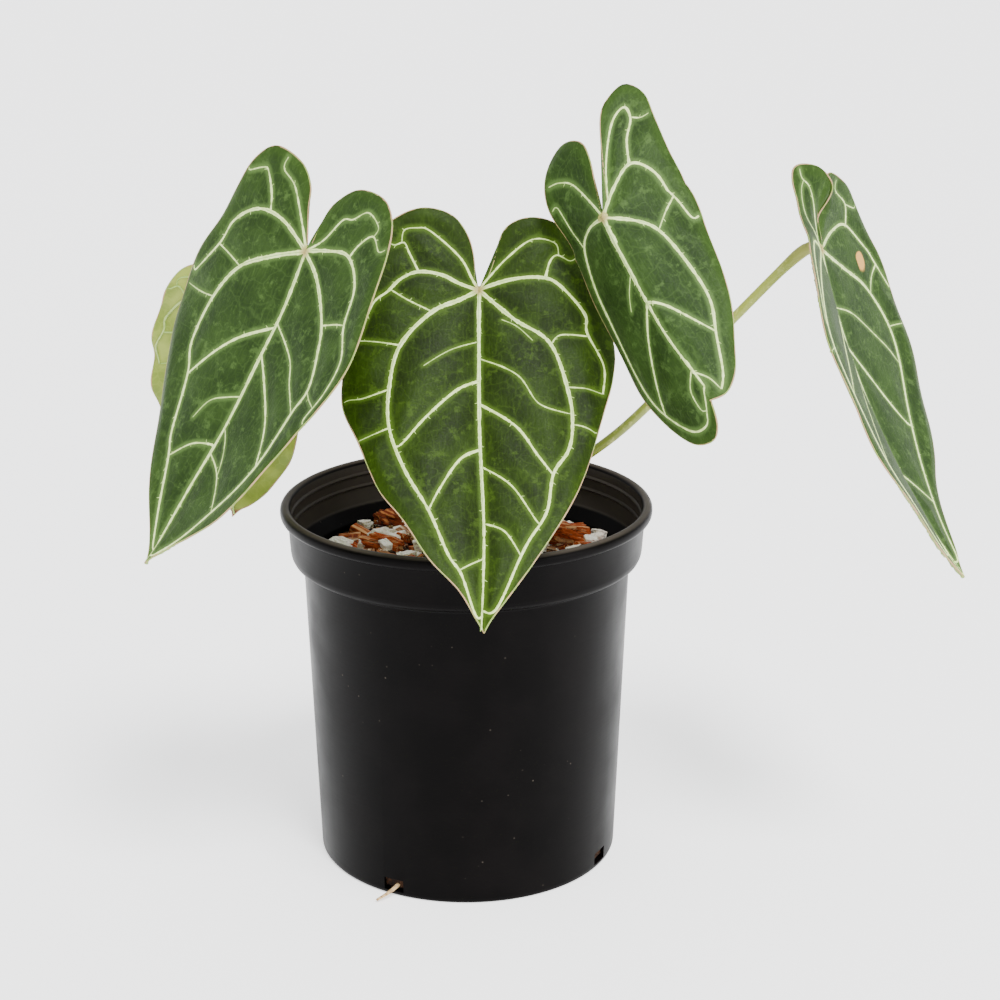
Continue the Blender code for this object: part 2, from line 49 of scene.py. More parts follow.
# %% [markdown]
# ## Screen colours and light
# A painter picks colours on a screen, as hex numbers. A screen number is not proportional to
# light, and a shader wants light. The conversion could be done by hand for each colour, but one
# function keeps the familiar codes readable in the script.

# %% A helper for colours
def linear(code):
    """A #rrggbb screen colour as linear red, green, blue, alpha."""
    parts = [int(code[i:i + 2], 16) / 255 for i in (1, 3, 5)]
    return [c / 12.92 if c <= 0.04045 else ((c + 0.055) / 1.055) ** 2.4 for c in parts] + [1.0]


print("middle grey as light:", [round(c, 3) for c in linear("#808080")])

# %% [markdown]
# ## Shader nodes
# In the shader editor a node is added and its sockets are joined with the mouse. Here one small
# function does both: an input is either a number or the output of another node. Two more name
# the steps that every material uses, a mix of two colours and a smooth ramp of a value.

# %% A helper for nodes
def add_node(tree, kind, out=0, props=None, **inputs):
    """A new node, and one of its outputs. An input is a value or another node's output."""
    node = tree.nodes.new(kind)
    for key, value in (props or {}).items():
        setattr(node, key, value)
    # An input is named after its socket, or i6 for the socket with number 6.
    for key, value in inputs.items():
        name = key.replace("_", " ")
        socket = node.inputs[int(key[1:])] if key[1:].isdigit() else node.inputs[name]
        if isinstance(value, bpy.types.NodeSocket):
            tree.links.new(value, socket)
        else:
            socket.default_value = value
    return node.outputs[out]


def mixed(tree, amount, one, two):
    """Two colours mixed by an amount from 0 to 1."""
    return add_node(tree, "ShaderNodeMix", 2, {"data_type": "RGBA"}, i0=amount, i6=one, i7=two)


def ramped(tree, value, low, high, to_low=0.0, to_high=1.0):
    """A value carried smoothly from one range to another."""
    return add_node(tree, "ShaderNodeMapRange", 0, {"interpolation_type": "SMOOTHSTEP"},
                    Value=value, From_Min=low, From_Max=high, To_Min=to_low, To_Max=to_high)


print("node helpers:", add_node.__name__, mixed.__name__, ramped.__name__)

# %% [markdown]
# ## Starting and finishing a material
# Every material here is one Principled shader. What never changes over the surface is set on
# the shader itself, and only the colour, the bump and the roughness are joined to patterns.
# A pattern reads the metres of the piece itself, or numbers kept on its points, so it stays in
# place when the piece or the camera moves.

# %% Helpers for materials
def start_material(name, rough=0.5, **constants):
    """An empty Principled material, its tree and its shader, with the constants set on it."""
    material = bpy.data.materials.new(name)
    material.use_nodes = True
    tree = material.node_tree
    shader = tree.nodes["Principled BSDF"]
    shader.inputs["Roughness"].default_value = rough
    for key, value in constants.items():
        shader.inputs[key.replace("_", " ")].default_value = value
    return material, tree, shader


def join_color(tree, shader, color, height=None, strength=0.3, distance=0.0005, rough=None):
    """Colour, and where given a bump height and a roughness, joined to the shader."""
    tree.links.new(color, shader.inputs["Base Color"])
    if height is not None:
        bump = add_node(tree, "ShaderNodeBump", 0, Strength=strength, Distance=distance,
                        Height=height)
        tree.links.new(bump, shader.inputs["Normal"])
    if rough is not None:
        tree.links.new(rough, shader.inputs["Roughness"])


def object_coords(tree, scale=(1.0, 1.0, 1.0)):
    """The object's own coordinates, in metres, stretched by scale."""
    coords = add_node(tree, "ShaderNodeTexCoord", 3)
    return add_node(tree, "ShaderNodeMapping", 0, Vector=coords, Scale=scale)


def read(tree, name):
    """The number a mesh keeps under that name."""
    return add_node(tree, "ShaderNodeAttribute", 2, {"attribute_name": name})


print("material helpers:", start_material.__name__, join_color.__name__)

# %% [markdown]
# ## The velvet of the upper face
# The real blade has bulging skin cells that catch light at their rims. Face on it is deep green,
# and aslant it turns greyish, which the sheen of the shader gives. On top of that, the leaves seen
# aslant get a greyer, lighter copy of the colours, a painted sheen, and the front leaf gets a
# darker copy, painted shade for the sun it faces. Each point of a blade knows how far it is from
# the nearest vein and from the margin, in millimetres, so the pale halo by the veins and the
# lighter border are ramps. A painted picture could do the same, but it would blur close up. The
# patterns are sized per millimetre of the flat leaf.

# %% Upper face of the leaves
CELL_NET = 0.36  # cells per mm: the finest net has cells of about 2.8 mm
WEB_NET = 0.11  # small veins wander about 9 mm apart
CLOUDS = 0.055  # broad light and dark clouds, about 18 mm across
HALO_WIDTH = 2.0  # mm of paler green beside a vein
BORDER_WIDTH = 6.0  # mm over which the margin brightens


def leaf_face(name, deep, mid, border, halo, sheen):
    """Velvety upper face of a leaf: deep green cells, paler by the veins and the margin."""
    material, tree, shader = start_material(name, 0.52, Sheen_Weight=sheen,
                                            Sheen_Roughness=0.32, Specular_IOR_Level=0.10,
                                            Sheen_Tint=linear("#dfe9d6"))
    # The flat leaf's own coordinates, in millimetres.
    x, y = read(tree, "flat_x"), read(tree, "flat_y")
    flat = add_node(tree, "ShaderNodeCombineXYZ", 0, X=x, Y=y)
    cloud = add_node(tree, "ShaderNodeTexNoise", 0, Vector=flat, Scale=CLOUDS, Detail=4.0)
    grain = add_node(tree, "ShaderNodeTexNoise", 0, Vector=flat, Scale=1.6, Detail=3.0)
    cells = add_node(tree, "ShaderNodeTexVoronoi", 0, {"feature": "DISTANCE_TO_EDGE"},
                     Vector=flat, Scale=CELL_NET)
    patches = add_node(tree, "ShaderNodeTexNoise", 0, Vector=flat, Scale=0.16, Detail=6.0,
                       Roughness=0.7)
    streaks = add_node(tree, "ShaderNodeMapping", 0, Vector=flat, Scale=(1.3, 0.22, 1.0))
    silk = add_node(tree, "ShaderNodeTexNoise", 0, Vector=streaks, Scale=1.0, Detail=4.0)
    color = mixed(tree, ramped(tree, cloud, 0.35, 0.68), linear(deep), linear(mid))
    # Finest veins: a very faint pale net.
    net = ramped(tree, cells, 0.0, 0.10, 0.13, 0.0)
    color = mixed(tree, net, color, linear(border))
    # Cloudy paler marks and the silky nap of the velvet.
    color = mixed(tree, ramped(tree, patches, 0.54, 0.64, 0.0, 0.38), color, linear(halo))
    color = mixed(tree, ramped(tree, silk, 0.46, 0.72, 0.0, 0.14), color, linear(halo))
    # A faint wandering net of small veins.
    bent_way = add_node(tree, "ShaderNodeTexNoise", 1, Vector=flat, Scale=0.14, Detail=3.0)
    wander = add_node(tree, "ShaderNodeVectorMath", 0, {"operation": "MULTIPLY_ADD"},
                      i0=bent_way, i1=(9.0, 9.0, 0.0), i2=flat)
    web = add_node(tree, "ShaderNodeTexVoronoi", 0, {"feature": "DISTANCE_TO_EDGE"},
                   Vector=wander, Scale=WEB_NET)
    color = mixed(tree, ramped(tree, web, 0.0, 0.05, 0.15, 0.0), color, linear(halo))
    # The border brightens.
    edge = ramped(tree, read(tree, "edge"), 0.5, BORDER_WIDTH, 0.28, 0.0)
    color = mixed(tree, edge, color, linear(border))
    # Beside a vein the green pales.
    near = ramped(tree, read(tree, "vein"), 0.0, HALO_WIDTH, 0.75, 0.0)
    color = mixed(tree, near, color, linear(halo))
    speck = ramped(tree, grain, 0.38, 0.72, 0.0, 0.22)
    color = mixed(tree, speck, color, linear(mid))
    # A dry patch where the leaf was once hurt, read from the same flat coordinates.
    hurt = ramped(tree, read(tree, "hurt"), 0.35, 0.6)
    color = mixed(tree, hurt, color, linear("#c4934a"))
    low = add_node(tree, "ShaderNodeMath", 0, {"operation": "MULTIPLY_ADD"}, i0=grain, i1=0.35,
                   i2=ramped(tree, cells, 0.0, 0.25))
    join_color(tree, shader, color, low, 0.14, 0.0003,
               ramped(tree, grain, 0.3, 0.7, 0.46, 0.62))
    return material


# A darker copy for the front leaf: painted shade, for the sun that it faces.
FACE_FRONT_PAINTED_SHADE = leaf_face("leaf_face_velvet_deep_green", "#142002", "#213303", "#30470a",
                       "#455f19", 0.0)
# A greyer, lighter copy for the leaves seen aslant: a painted sheen.
FACE_SIDE_PAINTED_SHEEN = leaf_face("leaf_face_velvet_grey_green", "#1b2d0d", "#2a3f17", "#3a5616",
                      "#547038", 0.06)
FACE_PALE = leaf_face("leaf_face_young_yellow_green", "#567321", "#6d8a30", "#86a040",
                      "#94a858", 0.05)
print("upper faces:", FACE_FRONT_PAINTED_SHADE.name, FACE_SIDE_PAINTED_SHEEN.name, FACE_PALE.name)

# %% [markdown]
# ## The underside
# Underneath, the skin cells are flat and hold less green: the leaf is paler, quite matt, and the
# fine net stands up. The small back leaf is drying out from its tip, so the underside also knows
# how dry each point is.

# %% Underside of the leaves
def leaf_back(name, main, pale, dry):
    """Underside of a leaf: paler, with a fine raised net, dried brown where `dry` says so."""
    material, tree, shader = start_material(name, 0.55, Specular_IOR_Level=0.3)
    x, y = read(tree, "flat_x"), read(tree, "flat_y")
    flat = add_node(tree, "ShaderNodeCombineXYZ", 0, X=x, Y=y)
    cloud = add_node(tree, "ShaderNodeTexNoise", 0, Vector=flat, Scale=0.08, Detail=4.0)
    cells = add_node(tree, "ShaderNodeTexVoronoi", 0, {"feature": "DISTANCE_TO_EDGE"},
                     Vector=flat, Scale=0.3)
    color = mixed(tree, ramped(tree, cloud, 0.35, 0.68), linear(main), linear(pale))
    color = mixed(tree, ramped(tree, cells, 0.0, 0.09, 0.35, 0.0), color, linear(pale))
    dead = ramped(tree, read(tree, "dry"), 0.3, 0.75)
    color = mixed(tree, dead, color, linear(dry))
    join_color(tree, shader, color, cells, 0.35, 0.0005)
    return material


BACK_GREEN = leaf_back("leaf_underside_pale_green", "#5a7833", "#759048", "#a98358")
BACK_PALE = leaf_back("leaf_underside_yellow_green", "#687a25", "#89963b", "#6a3a1c")
print("undersides:", BACK_GREEN.name, BACK_PALE.name)

# %% [markdown]
# ## Veins and margin
# A vein holds almost no green and has a waxy skin, so it is cream and shines a little. The green
# of the blade climbs its sides and shows through where it is thin. The margin is a dry cord two
# thirds of a millimetre thick, pinkish tan, which draws the outline in the photograph.

# %% Veins and margin of the leaves
def vein_material(name, pale, groove):
    """Raised vein, pale and waxy, with the thin darker line that runs down its middle."""
    material, tree, shader = start_material(name, 0.42, Specular_IOR_Level=0.4)
    across = add_node(tree, "ShaderNodeMath", 0, {"operation": "ABSOLUTE"},
                      i0=read(tree, "across"))
    run = read(tree, "along")
    patch = add_node(tree, "ShaderNodeTexNoise", 0, {"noise_dimensions": "1D"}, W=run,
                     Scale=0.35, Detail=3.0)
    color = mixed(tree, ramped(tree, patch, 0.35, 0.7), linear(pale), linear(groove))
    big = ramped(tree, read(tree, "width"), 1.2, 2.0, 0.0, 0.75)
    line = ramped(tree, across, 0.08, 0.3, 1.0, 0.0)
    amount = add_node(tree, "ShaderNodeMath", 0, {"operation": "MULTIPLY"}, i0=line, i1=big)
    color = mixed(tree, amount, color, linear("#86a860"))
    # The green of the blade climbs the sides of the ridge.
    color = mixed(tree, ramped(tree, across, 0.45, 1.0, 0.0, 0.72), color, linear("#7c9f48"))
    # The thinnest veins let more green through.
    thin = ramped(tree, read(tree, "width"), 0.35, 1.3, 0.62, 0.0)
    color = mixed(tree, thin, color, linear("#7fa444"))
    # Where the veins meet over the stalk they turn tan.
    knot = ramped(tree, read(tree, "reach"), 0.8, 4.0, 0.85, 0.0)
    color = mixed(tree, knot, color, linear("#a08752"))
    join_color(tree, shader, color)
    return material


VEIN_TOP = vein_material("vein_raised_waxy_cream", "#e2f2a6", "#c8e084")
VEIN_UNDER = vein_material("vein_underside_pale_green", "#a3b56a", "#8ba04f")
MARGIN, tree, shader = start_material("leaf_margin_thin_pinkish_tan", 0.5)
spots = add_node(tree, "ShaderNodeTexNoise", 0, Vector=object_coords(tree), Scale=160.0)
join_color(tree, shader, mixed(tree, ramped(tree, spots, 0.4, 0.65), linear("#a98a63"),
                               linear("#7f9440")))
print("leaf materials:", len(bpy.data.materials))

# %% [markdown]
# ## The flat leaves
# A leaf could be sculpted where it hangs, but then every vein would have to be placed in the air.
# It is easier to draw it pressed flat and bend the whole sheet afterwards. `left` and `right` are
# the margins from the stalk, round the rear lobe, to the tip. `veins` are the routes of the pale
# veins with their width at each end. The numbers are millimetres: x across from the midrib, y
# along it towards the tip. `at` is where the stalk meets the blade, `aim` how it points, and the
# other names say how the sheet is bent.

# %% The front leaf
FRONT_VEINS = [
    (2.3, 0.9, [(0, 0), (0, 25), (0, 59), (1, 90), (1, 107), (0, 128), (-1, 141)]),
    (2.0, 1.1, [(0, 0), (-8, 5), (-19, 11), (-31, 25), (-35, 42), (-35, 59), (-29, 77),
                (-20, 94), (-13, 112), (-8, 120), (-3, 136)]),
    (2.0, 1.1, [(0, 0), (14, 13), (28, 23), (35, 44), (36, 58), (34, 68), (28, 78), (25, 94),
                (18, 106), (14, 114), (5, 134)]),
    (1.9, 0.9, [(0, 0), (-8, -2), (-15, -5), (-24, -6), (-31, -3), (-36, 2), (-42, 7),
                (-47, 20)]),
    (1.9, 0.9, [(0, 0), (13, -4), (25, -5), (32, -2), (42, 9), (43, 17), (50, 30), (49, 42)]),
    (1.4, 1.0, [(-1, 39), (-9, 43), (-21, 55), (-30, 66), (-33, 68)]),
    (1.4, 0.9, [(-1, 67), (-8, 72), (-16, 85), (-21, 93)]),
    (0.9, 0.7, [(1, 113), (-4, 115), (-9, 119)]),
    (0.6, 0.4, [(-1, 22), (-12, 27), (-22, 34)]),
    (0.8, 0.6, [(1, 29), (15, 37), (23, 49), (34, 52)]),
    (1.5, 1.0, [(1, 47), (14, 58), (22, 70), (28, 78)]),
    (0.9, 0.7, [(1, 75), (12, 83), (21, 98)]),
    (0.9, 0.7, [(1, 99), (9, 102), (15, 112)]),
    (0.6, 0.4, [(9, 13), (15, 16), (21, 22)]),
    (1.2, 0.5, [(-24, -6), (-28, -14), (-30, -18), (-34, -17)]),
    (1.3, 0.5, [(0, 0), (-3, -5), (-8, -13), (-20, -23), (-25, -24), (-30, -23)]),
    (0.9, 0.7, [(-34, 2), (-28, 6), (-19, 11)]),
    (0.9, 0.4, [(-32, 25), (-40, 23), (-47, 22)]),
    (1.0, 0.4, [(-36, 44), (-45, 46), (-51, 46)]),
    (0.9, 0.4, [(-35, 59), (-42, 62), (-47, 64)]),
    (1.2, 0.5, [(26, -5), (28, -12), (31, -15), (36, -13)]),
    (1.3, 0.5, [(0, 0), (4, -5), (11, -13), (21, -21), (30, -20)]),
    (0.9, 0.7, [(28, 22), (32, 19), (43, 18)]),
    (0.8, 0.4, [(35, 42), (42, 41), (49, 42)]),
    (0.8, 0.4, [(36, 56), (40, 57), (45, 59)]),
]
LEAVES = {}
LEAVES["front"] = dict(
    at=(5.7, -25.0, 248.0), aim=(0.0, -56.0, -8.0), fold=(12.0, 20.0), curl=(-42.0, -42.0),
    bend=14.0, lobe=-18.0, twist=0.0, lift=(0.0, 0.0), lean=0.0, half=56.0, length=143.0,
    spine=143.0, face=FACE_FRONT_PAINTED_SHADE, back=BACK_GREEN, veins=FRONT_VEINS,
    left=[(-2, -3), (-2, -12), (-5, -22), (-12, -30), (-24, -32), (-36, -26), (-43, -16),
          (-48, -4), (-51, 12), (-53, 28), (-54, 47), (-47, 64), (-39, 84), (-30, 97),
          (-20, 114), (-9, 126), (-3, 137)],
    right=[(3, -3), (6, -12), (10, -25), (20, -30), (32, -27), (40, -15), (49, 3), (55, 21),
           (54, 34), (49, 50), (42, 73), (33, 93), (20, 114), (9, 130), (3, 138)])
print("veins on the front leaf:", len(FRONT_VEINS))

# %% [markdown]
# ## The left leaf
# It hangs to the left of the front leaf, its left half folded up and its right half folded back.
# The sheet twists by 17 degrees from the stalk to the tip.

# %% The left leaf
LEAVES["left"] = dict(
    at=(-59.0, -54.8, 269.2), aim=(-72.5, -66.7, -13.4), fold=(33.0, -13.0),
    curl=(-30.0, 16.0), bend=13.5, lobe=13.0, twist=17.0, lift=(0.0, 0.0), lean=0.0,
    half=57.0, length=134.0, spine=134.0, face=FACE_SIDE_PAINTED_SHEEN, back=BACK_GREEN,
    left=[(-1, -3), (-6, -15), (-9, -23), (-17, -29), (-31, -30), (-39, -22), (-43, -11),
          (-47, 3), (-54, 19), (-57, 34), (-56, 48), (-49, 62), (-42, 78), (-32, 94),
          (-20, 110), (-8, 123), (-3, 129)],
    right=[(2, -4), (2, -16), (5, -23), (13, -30), (27, -31), (37, -25), (44, -14), (50, 0),
           (55, 17), (58, 33), (56, 47), (49, 60), (43, 74), (40, 89), (33, 101),
           (20, 113), (8, 124), (3, 130)],
    veins=[
        (2.3, 0.9, [(0, 0), (1, 23), (0, 45), (0, 74), (-1, 100), (0, 132)]),
        (2.0, 1.0, [(0, 0), (-13, 7), (-27, 17), (-35, 33), (-37, 52), (-31, 64), (-25, 86),
                    (-19, 96), (-9, 115), (-2, 127)]),
        (1.8, 0.8, [(0, 0), (-14, -7), (-27, -7), (-38, 1), (-42, 12), (-52, 26)]),
        (1.2, 0.5, [(-21, -9), (-24, -14), (-30, -21), (-33, -21), (-39, -18)]),
        (1.2, 0.5, [(0, 0), (-6, -9), (-15, -20), (-23, -24)]),
        (0.9, 0.7, [(-42, 12), (-34, 14), (-27, 17)]),
        (0.9, 0.4, [(-36, 32), (-43, 33), (-50, 33)]),
        (1.8, 0.8, [(0, 0), (11, -4), (24, -6), (36, 3), (41, 17), (51, 28), (53, 41),
                    (50, 52)]),
        (1.2, 0.5, [(24, -6), (27, -12), (32, -17), (39, -13)]),
        (1.2, 0.5, [(0, 0), (7, -7), (12, -17), (17, -19), (23, -24), (32, -21)]),
        (2.0, 1.0, [(0, 0), (12, 7), (27, 21), (33, 30), (40, 43), (38, 53), (37, 64),
                    (35, 79), (29, 94), (14, 116), (3, 129)]),
        (0.9, 0.4, [(40, 43), (45, 46), (50, 47)]),
        (0.9, 0.7, [(28, 21), (35, 18), (41, 17)]),
        (1.4, 1.0, [(-1, 32), (-13, 41), (-22, 51), (-31, 64)]),
        (0.7, 0.4, [(-1, 61), (-5, 63), (-12, 68), (-16, 77)]),
        (1.0, 0.7, [(-2, 82), (-11, 86), (-19, 96)]),
        (0.9, 0.7, [(1, 29), (18, 38), (26, 46), (38, 53)]),
        (1.4, 1.0, [(0, 43), (11, 52), (25, 64), (34, 76)]),
        (0.9, 0.7, [(-1, 86), (12, 90), (23, 101)]),
        (0.8, 0.5, [(0, 74), (8, 80), (12, 90)]),
    ])
print("veins on the left leaf:", len(LEAVES["left"]["veins"]))

# %% [markdown]
# ## The right leaf
# It stands up at the back right. Its tip is missing, so its midrib stops at a notch between two
# rounded ends. Its left half is folded back strongly along the midrib.

# %% The right leaf
LEAVES["right"] = dict(
    at=(52.9, -44.0, 280.0), aim=(40.0, -45.0, 37.0), fold=(-52.0, -5.0),
    curl=(-26.0, -15.0), bend=0.0, lobe=10.0, twist=0.0, lift=(30.0, 0.0), lean=0.35,
    half=42.0, length=118.0, spine=84.0, face=FACE_SIDE_PAINTED_SHEEN, back=BACK_GREEN,
    left=[(-1, -3), (-1, -12), (-1, -24), (-4, -34), (-13, -40), (-22, -36), (-27, -24),
          (-28, -10), (-28, 5), (-31, 20), (-35, 38), (-36, 55), (-34, 67), (-29, 80),
          (-20, 91), (-9, 96), (-3, 93)],
    right=[(3, -4), (4, -23), (6, -40), (11, -47), (18, -50), (25, -43), (28, -31),
           (32, -15), (36, 0), (36, 10), (34, 21), (31, 37), (26, 54), (20, 67), (14, 78),
           (7, 84)],
    veins=[
        (2.2, 1.0, [(0, 0), (-1, 15), (-2, 38), (-2, 53), (0, 69), (1, 78)]),
        (1.8, 1.0, [(0, 0), (11, 7), (17, 15), (20, 32), (20, 48), (15, 62), (10, 76),
                    (6, 82)]),
        (1.9, 0.8, [(0, 0), (7, -10), (15, -16), (24, -9), (29, 3), (31, 14)]),
        (0.9, 0.7, [(29, 3), (23, 8), (18, 14)]),
        (1.4, 0.8, [(14, -16), (15, -26), (18, -34), (16, -40), (10, -35), (5, -20),
                    (2, -6)]),
        (0.9, 0.4, [(18, -35), (22, -33)]),
        (1.7, 0.8, [(0, 0), (-10, -2), (-18, 2), (-24, 14), (-28, 30), (-31, 46), (-31, 62),
                    (-27, 74), (-17, 87), (-8, 90), (-4, 86), (1, 78)]),
        (1.2, 0.5, [(0, 0), (-6, -11), (-12, -22), (-18, -27)]),
        (0.9, 0.5, [(-18, 2), (-22, -8), (-23, -20)]),
        (1.4, 0.9, [(-2, 38), (-12, 49), (-22, 64), (-27, 73)]),
        (0.8, 0.5, [(-1, 70), (-5, 76), (-6, 84)]),
        (0.6, 0.4, [(-1, 24), (-7, 30), (-11, 36)]),
        (1.5, 0.9, [(-2, 38), (4, 43), (12, 55), (15, 61)]),
        (0.8, 0.6, [(0, 72), (4, 76), (6, 82)]),
    ])
print("veins on the right leaf:", len(LEAVES["right"]["veins"]))

# %% [markdown]
# ## The far right leaf
# It is seen at a slant, at the end of the long bare stalk. `hurt` is the centre and the size of
# the small dry patch on its right half.

# %% The far right leaf
LEAVES["far_right"] = dict(
    at=(141.3, -10.0, 261.3), aim=(31.0, -67.3, -49.0), fold=(-1.0, 19.0),
    curl=(-8.0, 10.0), bend=23.0, lobe=-27.0, twist=1.0, lift=(-42.0, 0.0), lean=0.3,
    half=60.0, length=142.0, spine=142.0, face=FACE_SIDE_PAINTED_SHEEN, back=BACK_GREEN,
    left=[(-1, -3), (2, -13), (9, -21), (10, -28), (3, -34), (-5, -35), (-12, -33),
          (-14, -27), (-15, -19), (-21, -11), (-31, -3), (-41, 8), (-49, 22), (-52, 38),
          (-51, 55), (-48, 72), (-42, 88), (-33, 102), (-20, 117), (-8, 131), (-3, 137)],
    right=[(2, -4), (3, -16), (6, -28), (13, -34), (24, -33), (33, -29), (42, -19),
           (48, -8), (54, 7), (58, 27), (58, 42), (54, 60), (48, 78), (38, 93), (28, 104),
           (18, 119), (9, 131), (3, 137)],
    hurt=(34.5, 5.0, 3.4),
    veins=[
        (2.3, 0.9, [(0, 0), (0, 60), (0, 110), (0, 140)]),
        (2.0, 1.0, [(0, 0), (20, 8), (35, 16), (45, 32), (44, 50), (33, 75), (22, 97),
                    (14, 116), (5, 134)]),
        (1.8, 0.8, [(0, 0), (15, -9), (28, -12), (42, -2), (48, 6), (55, 16)]),
        (0.9, 0.7, [(48, 6), (42, 12), (37, 18)]),
        (1.2, 0.5, [(28, -12), (29, -22), (20, -27)]),
        (0.9, 0.4, [(29, -22), (37, -21)]),
        (1.2, 0.6, [(0, 0), (-2, -10), (-2, -19), (-4, -26), (-8, -29)]),
        (1.0, 0.5, [(0, 0), (-8, -5), (-13, -11), (-11, -19), (-9, -25)]),
        (1.8, 0.8, [(0, 0), (-12, -1), (-23, -1), (-32, 5), (-40, 16), (-46, 30)]),
        (2.0, 1.0, [(0, 0), (-20, 8), (-36, 20), (-45, 34), (-44, 52), (-37, 72), (-30, 92),
                    (-18, 110), (-6, 130)]),
        (0.8, 0.6, [(0, 23), (15, 28), (33, 41), (44, 50)]),
        (1.4, 1.0, [(0, 41), (12, 54), (28, 76), (32, 78)]),
        (0.9, 0.7, [(0, 96), (8, 102), (16, 111)]),
        (1.3, 0.9, [(0, 30), (-14, 40), (-28, 52), (-41, 61)]),
        (1.0, 0.7, [(0, 50), (-13, 64), (-26, 82), (-31, 90)]),
        (0.8, 0.4, [(45, 33), (50, 34), (55, 34)]),
        (0.8, 0.4, [(-45, 42), (-50, 43), (-53, 44)]),
    ])
print("veins on the far right leaf:", len(LEAVES["far_right"]["veins"]))

# %% [markdown]
# ## The small back leaf
# It looks away from us behind the left leaf, so its yellow-green underside shows. Its veins are
# those of the front leaf at a smaller scale, which saves drawing them again. `dry` says where its
# tip dries out, and `ruffle` how strongly its margin waves.

# %% The small back leaf
BACK_SCALE, BACK_VEIN_WIDTH = 0.61, 0.8
LEAVES["back"] = dict(
    at=(-96.0, -14.0, 237.0), aim=(188.0, -83.0, 3.0), fold=(24.0, 24.0),
    curl=(-20.0, -10.0), bend=-6.0, lobe=10.0, twist=8.0, lift=(0.0, 0.0), lean=0.0,
    half=34.0, length=88.0, spine=88.0,
    face=FACE_PALE, back=BACK_PALE, dry=(84.0, 4.0), ruffle=(2.0, 3.4),
    left=[(-2, -3), (-2, -8), (-4, -15), (-10, -19), (-18, -18), (-25, -11), (-30, -2),
          (-33, 10), (-34, 21), (-33, 34), (-30, 48), (-27, 60), (-23, 70), (-16, 78),
          (-8, 83), (-3, 85)],
    right=[(2, -3), (2, -8), (4, -15), (10, -18), (18, -15), (24, -7), (28, 2), (31, 12),
           (32, 22), (33, 34), (31, 46), (25, 60), (16, 72), (8, 80), (3, 84)],
    veins=[(BACK_VEIN_WIDTH * a, BACK_VEIN_WIDTH * b,
            [(BACK_SCALE * x, BACK_SCALE * y) for x, y in line])
           for a, b, line in FRONT_VEINS])
print("leaves:", ", ".join(LEAVES))

# %% [markdown]
# ## Bending a flat leaf
# A real blade is a sheet, so it can bend but hardly stretch. Each half turns up or down from the
# midrib by its fold and goes on turning towards the margin by its curl, like paper wrapped on a
# roll. The midrib itself bends and twists, and the rear lobes bend the other way. A chain of bend
# modifiers could do this, but a formula takes points, veins and margin alike, all at once. The
# plain CAD blades were bent by the same rule, so the pieces land on them.

# %% The bending function
REAR_REACH = 35.0  # mm behind the stalk where a lobe is lifted fully


def leaf_axes(aim):
    """Along the tip, across to the viewer's right, and off the upper face."""
    heading, rise, roll = (math.radians(a) for a in aim)
    along = np.array([math.sin(heading) * math.cos(rise), -math.cos(heading) * math.cos(rise),
                      math.sin(rise)])
    level = np.array([math.cos(heading), math.sin(heading), 0.0])
    across = math.cos(roll) * level + math.sin(roll) * np.cross(along, level)
    return along, across, np.cross(along, across)


def bent(leaf, flat, off, side):
    """Flat points (n, 2), heights off the face and halves (0 left, 1 right) as points in space."""
    along, across, face = leaf_axes(leaf["aim"])
    x, y = flat[:, 0], flat[:, 1]
    sign = np.where(side == 0, -1.0, 1.0)
    reach = x * sign
    rear = np.clip(-y / REAR_REACH, 0.0, 1.0)
    rear = rear * rear * (3 - 2 * rear)
    pick = lambda pair: np.where(side == 0, pair[0], pair[1])
    start = np.radians(pick(leaf["fold"]) + pick(leaf["lift"]) * rear)
    rate = np.radians(pick(leaf["curl"])) / leaf["half"]
    end = start + rate * reach
    lateral = (np.sin(end) - np.sin(start)) / rate - off * np.sin(end)
    raised = (np.cos(start) - np.cos(end)) / rate + off * np.cos(end)
    rate_y = np.where(y < 0, -math.radians(leaf["lobe"]) / leaf["half"],
                      math.radians(leaf["bend"]) / leaf["length"] + 1e-9)
    turn = rate_y * y
    run = np.sin(turn) / rate_y
    drop = (1.0 - np.cos(turn)) / rate_y
    c, s = np.cos(turn)[:, None], np.sin(turn)[:, None]
    here_along = c * along + s * face
    here_face = c * face - s * along
    roll = np.radians(leaf["twist"]) * y / leaf["length"]
    here_across = np.cos(roll)[:, None] * across + np.sin(roll)[:, None] * here_face
    here_face = np.cross(here_along, here_across)
    lateral = sign * lateral + leaf["lean"] * np.maximum(-y, 0.0)
    return (np.array(leaf["at"]) + run[:, None] * along + drop[:, None] * face
            + lateral[:, None] * here_across + raised[:, None] * here_face)


print("front leaf faces:", leaf_axes(LEAVES["front"]["aim"])[2].round(2))

# %% [markdown]
# ## Smooth lines from a few points
# A margin or a vein is stored as the few points that its shape needs. One function runs a smooth
# curve through them, the same curve that an editor draws through control points, one spaces it
# evenly, and one measures how far any point lies from such lines.

# %% Helpers for lines
def smooth_line(points, pieces=8):
    """The points joined by a smooth line that passes through each of them."""
    p = np.array(points, dtype=float)
    p = np.vstack([p[:1], p, p[-1:]])
    out = []
    for a, b, c, d in zip(p[:-3], p[1:-2], p[2:-1], p[3:]):
        for t in np.arange(pieces) / pieces:
            out.append(0.5 * (2 * b + (c - a) * t + (2 * a - 5 * b + 4 * c - d) * t * t
                              + (3 * b - a - 3 * c + d) * t ** 3))
    out.append(p[-1])
    return np.array(out)


def spaced(line, count):
    """Points at equal steps of length along a line, both ends included."""
    runs = np.r_[0.0, np.cumsum(np.linalg.norm(np.diff(line, axis=0), axis=1))]
    want = np.linspace(0.0, runs[-1], count)
    return np.stack([np.interp(want, runs, line[:, k]) for k in range(line.shape[1])], axis=1)


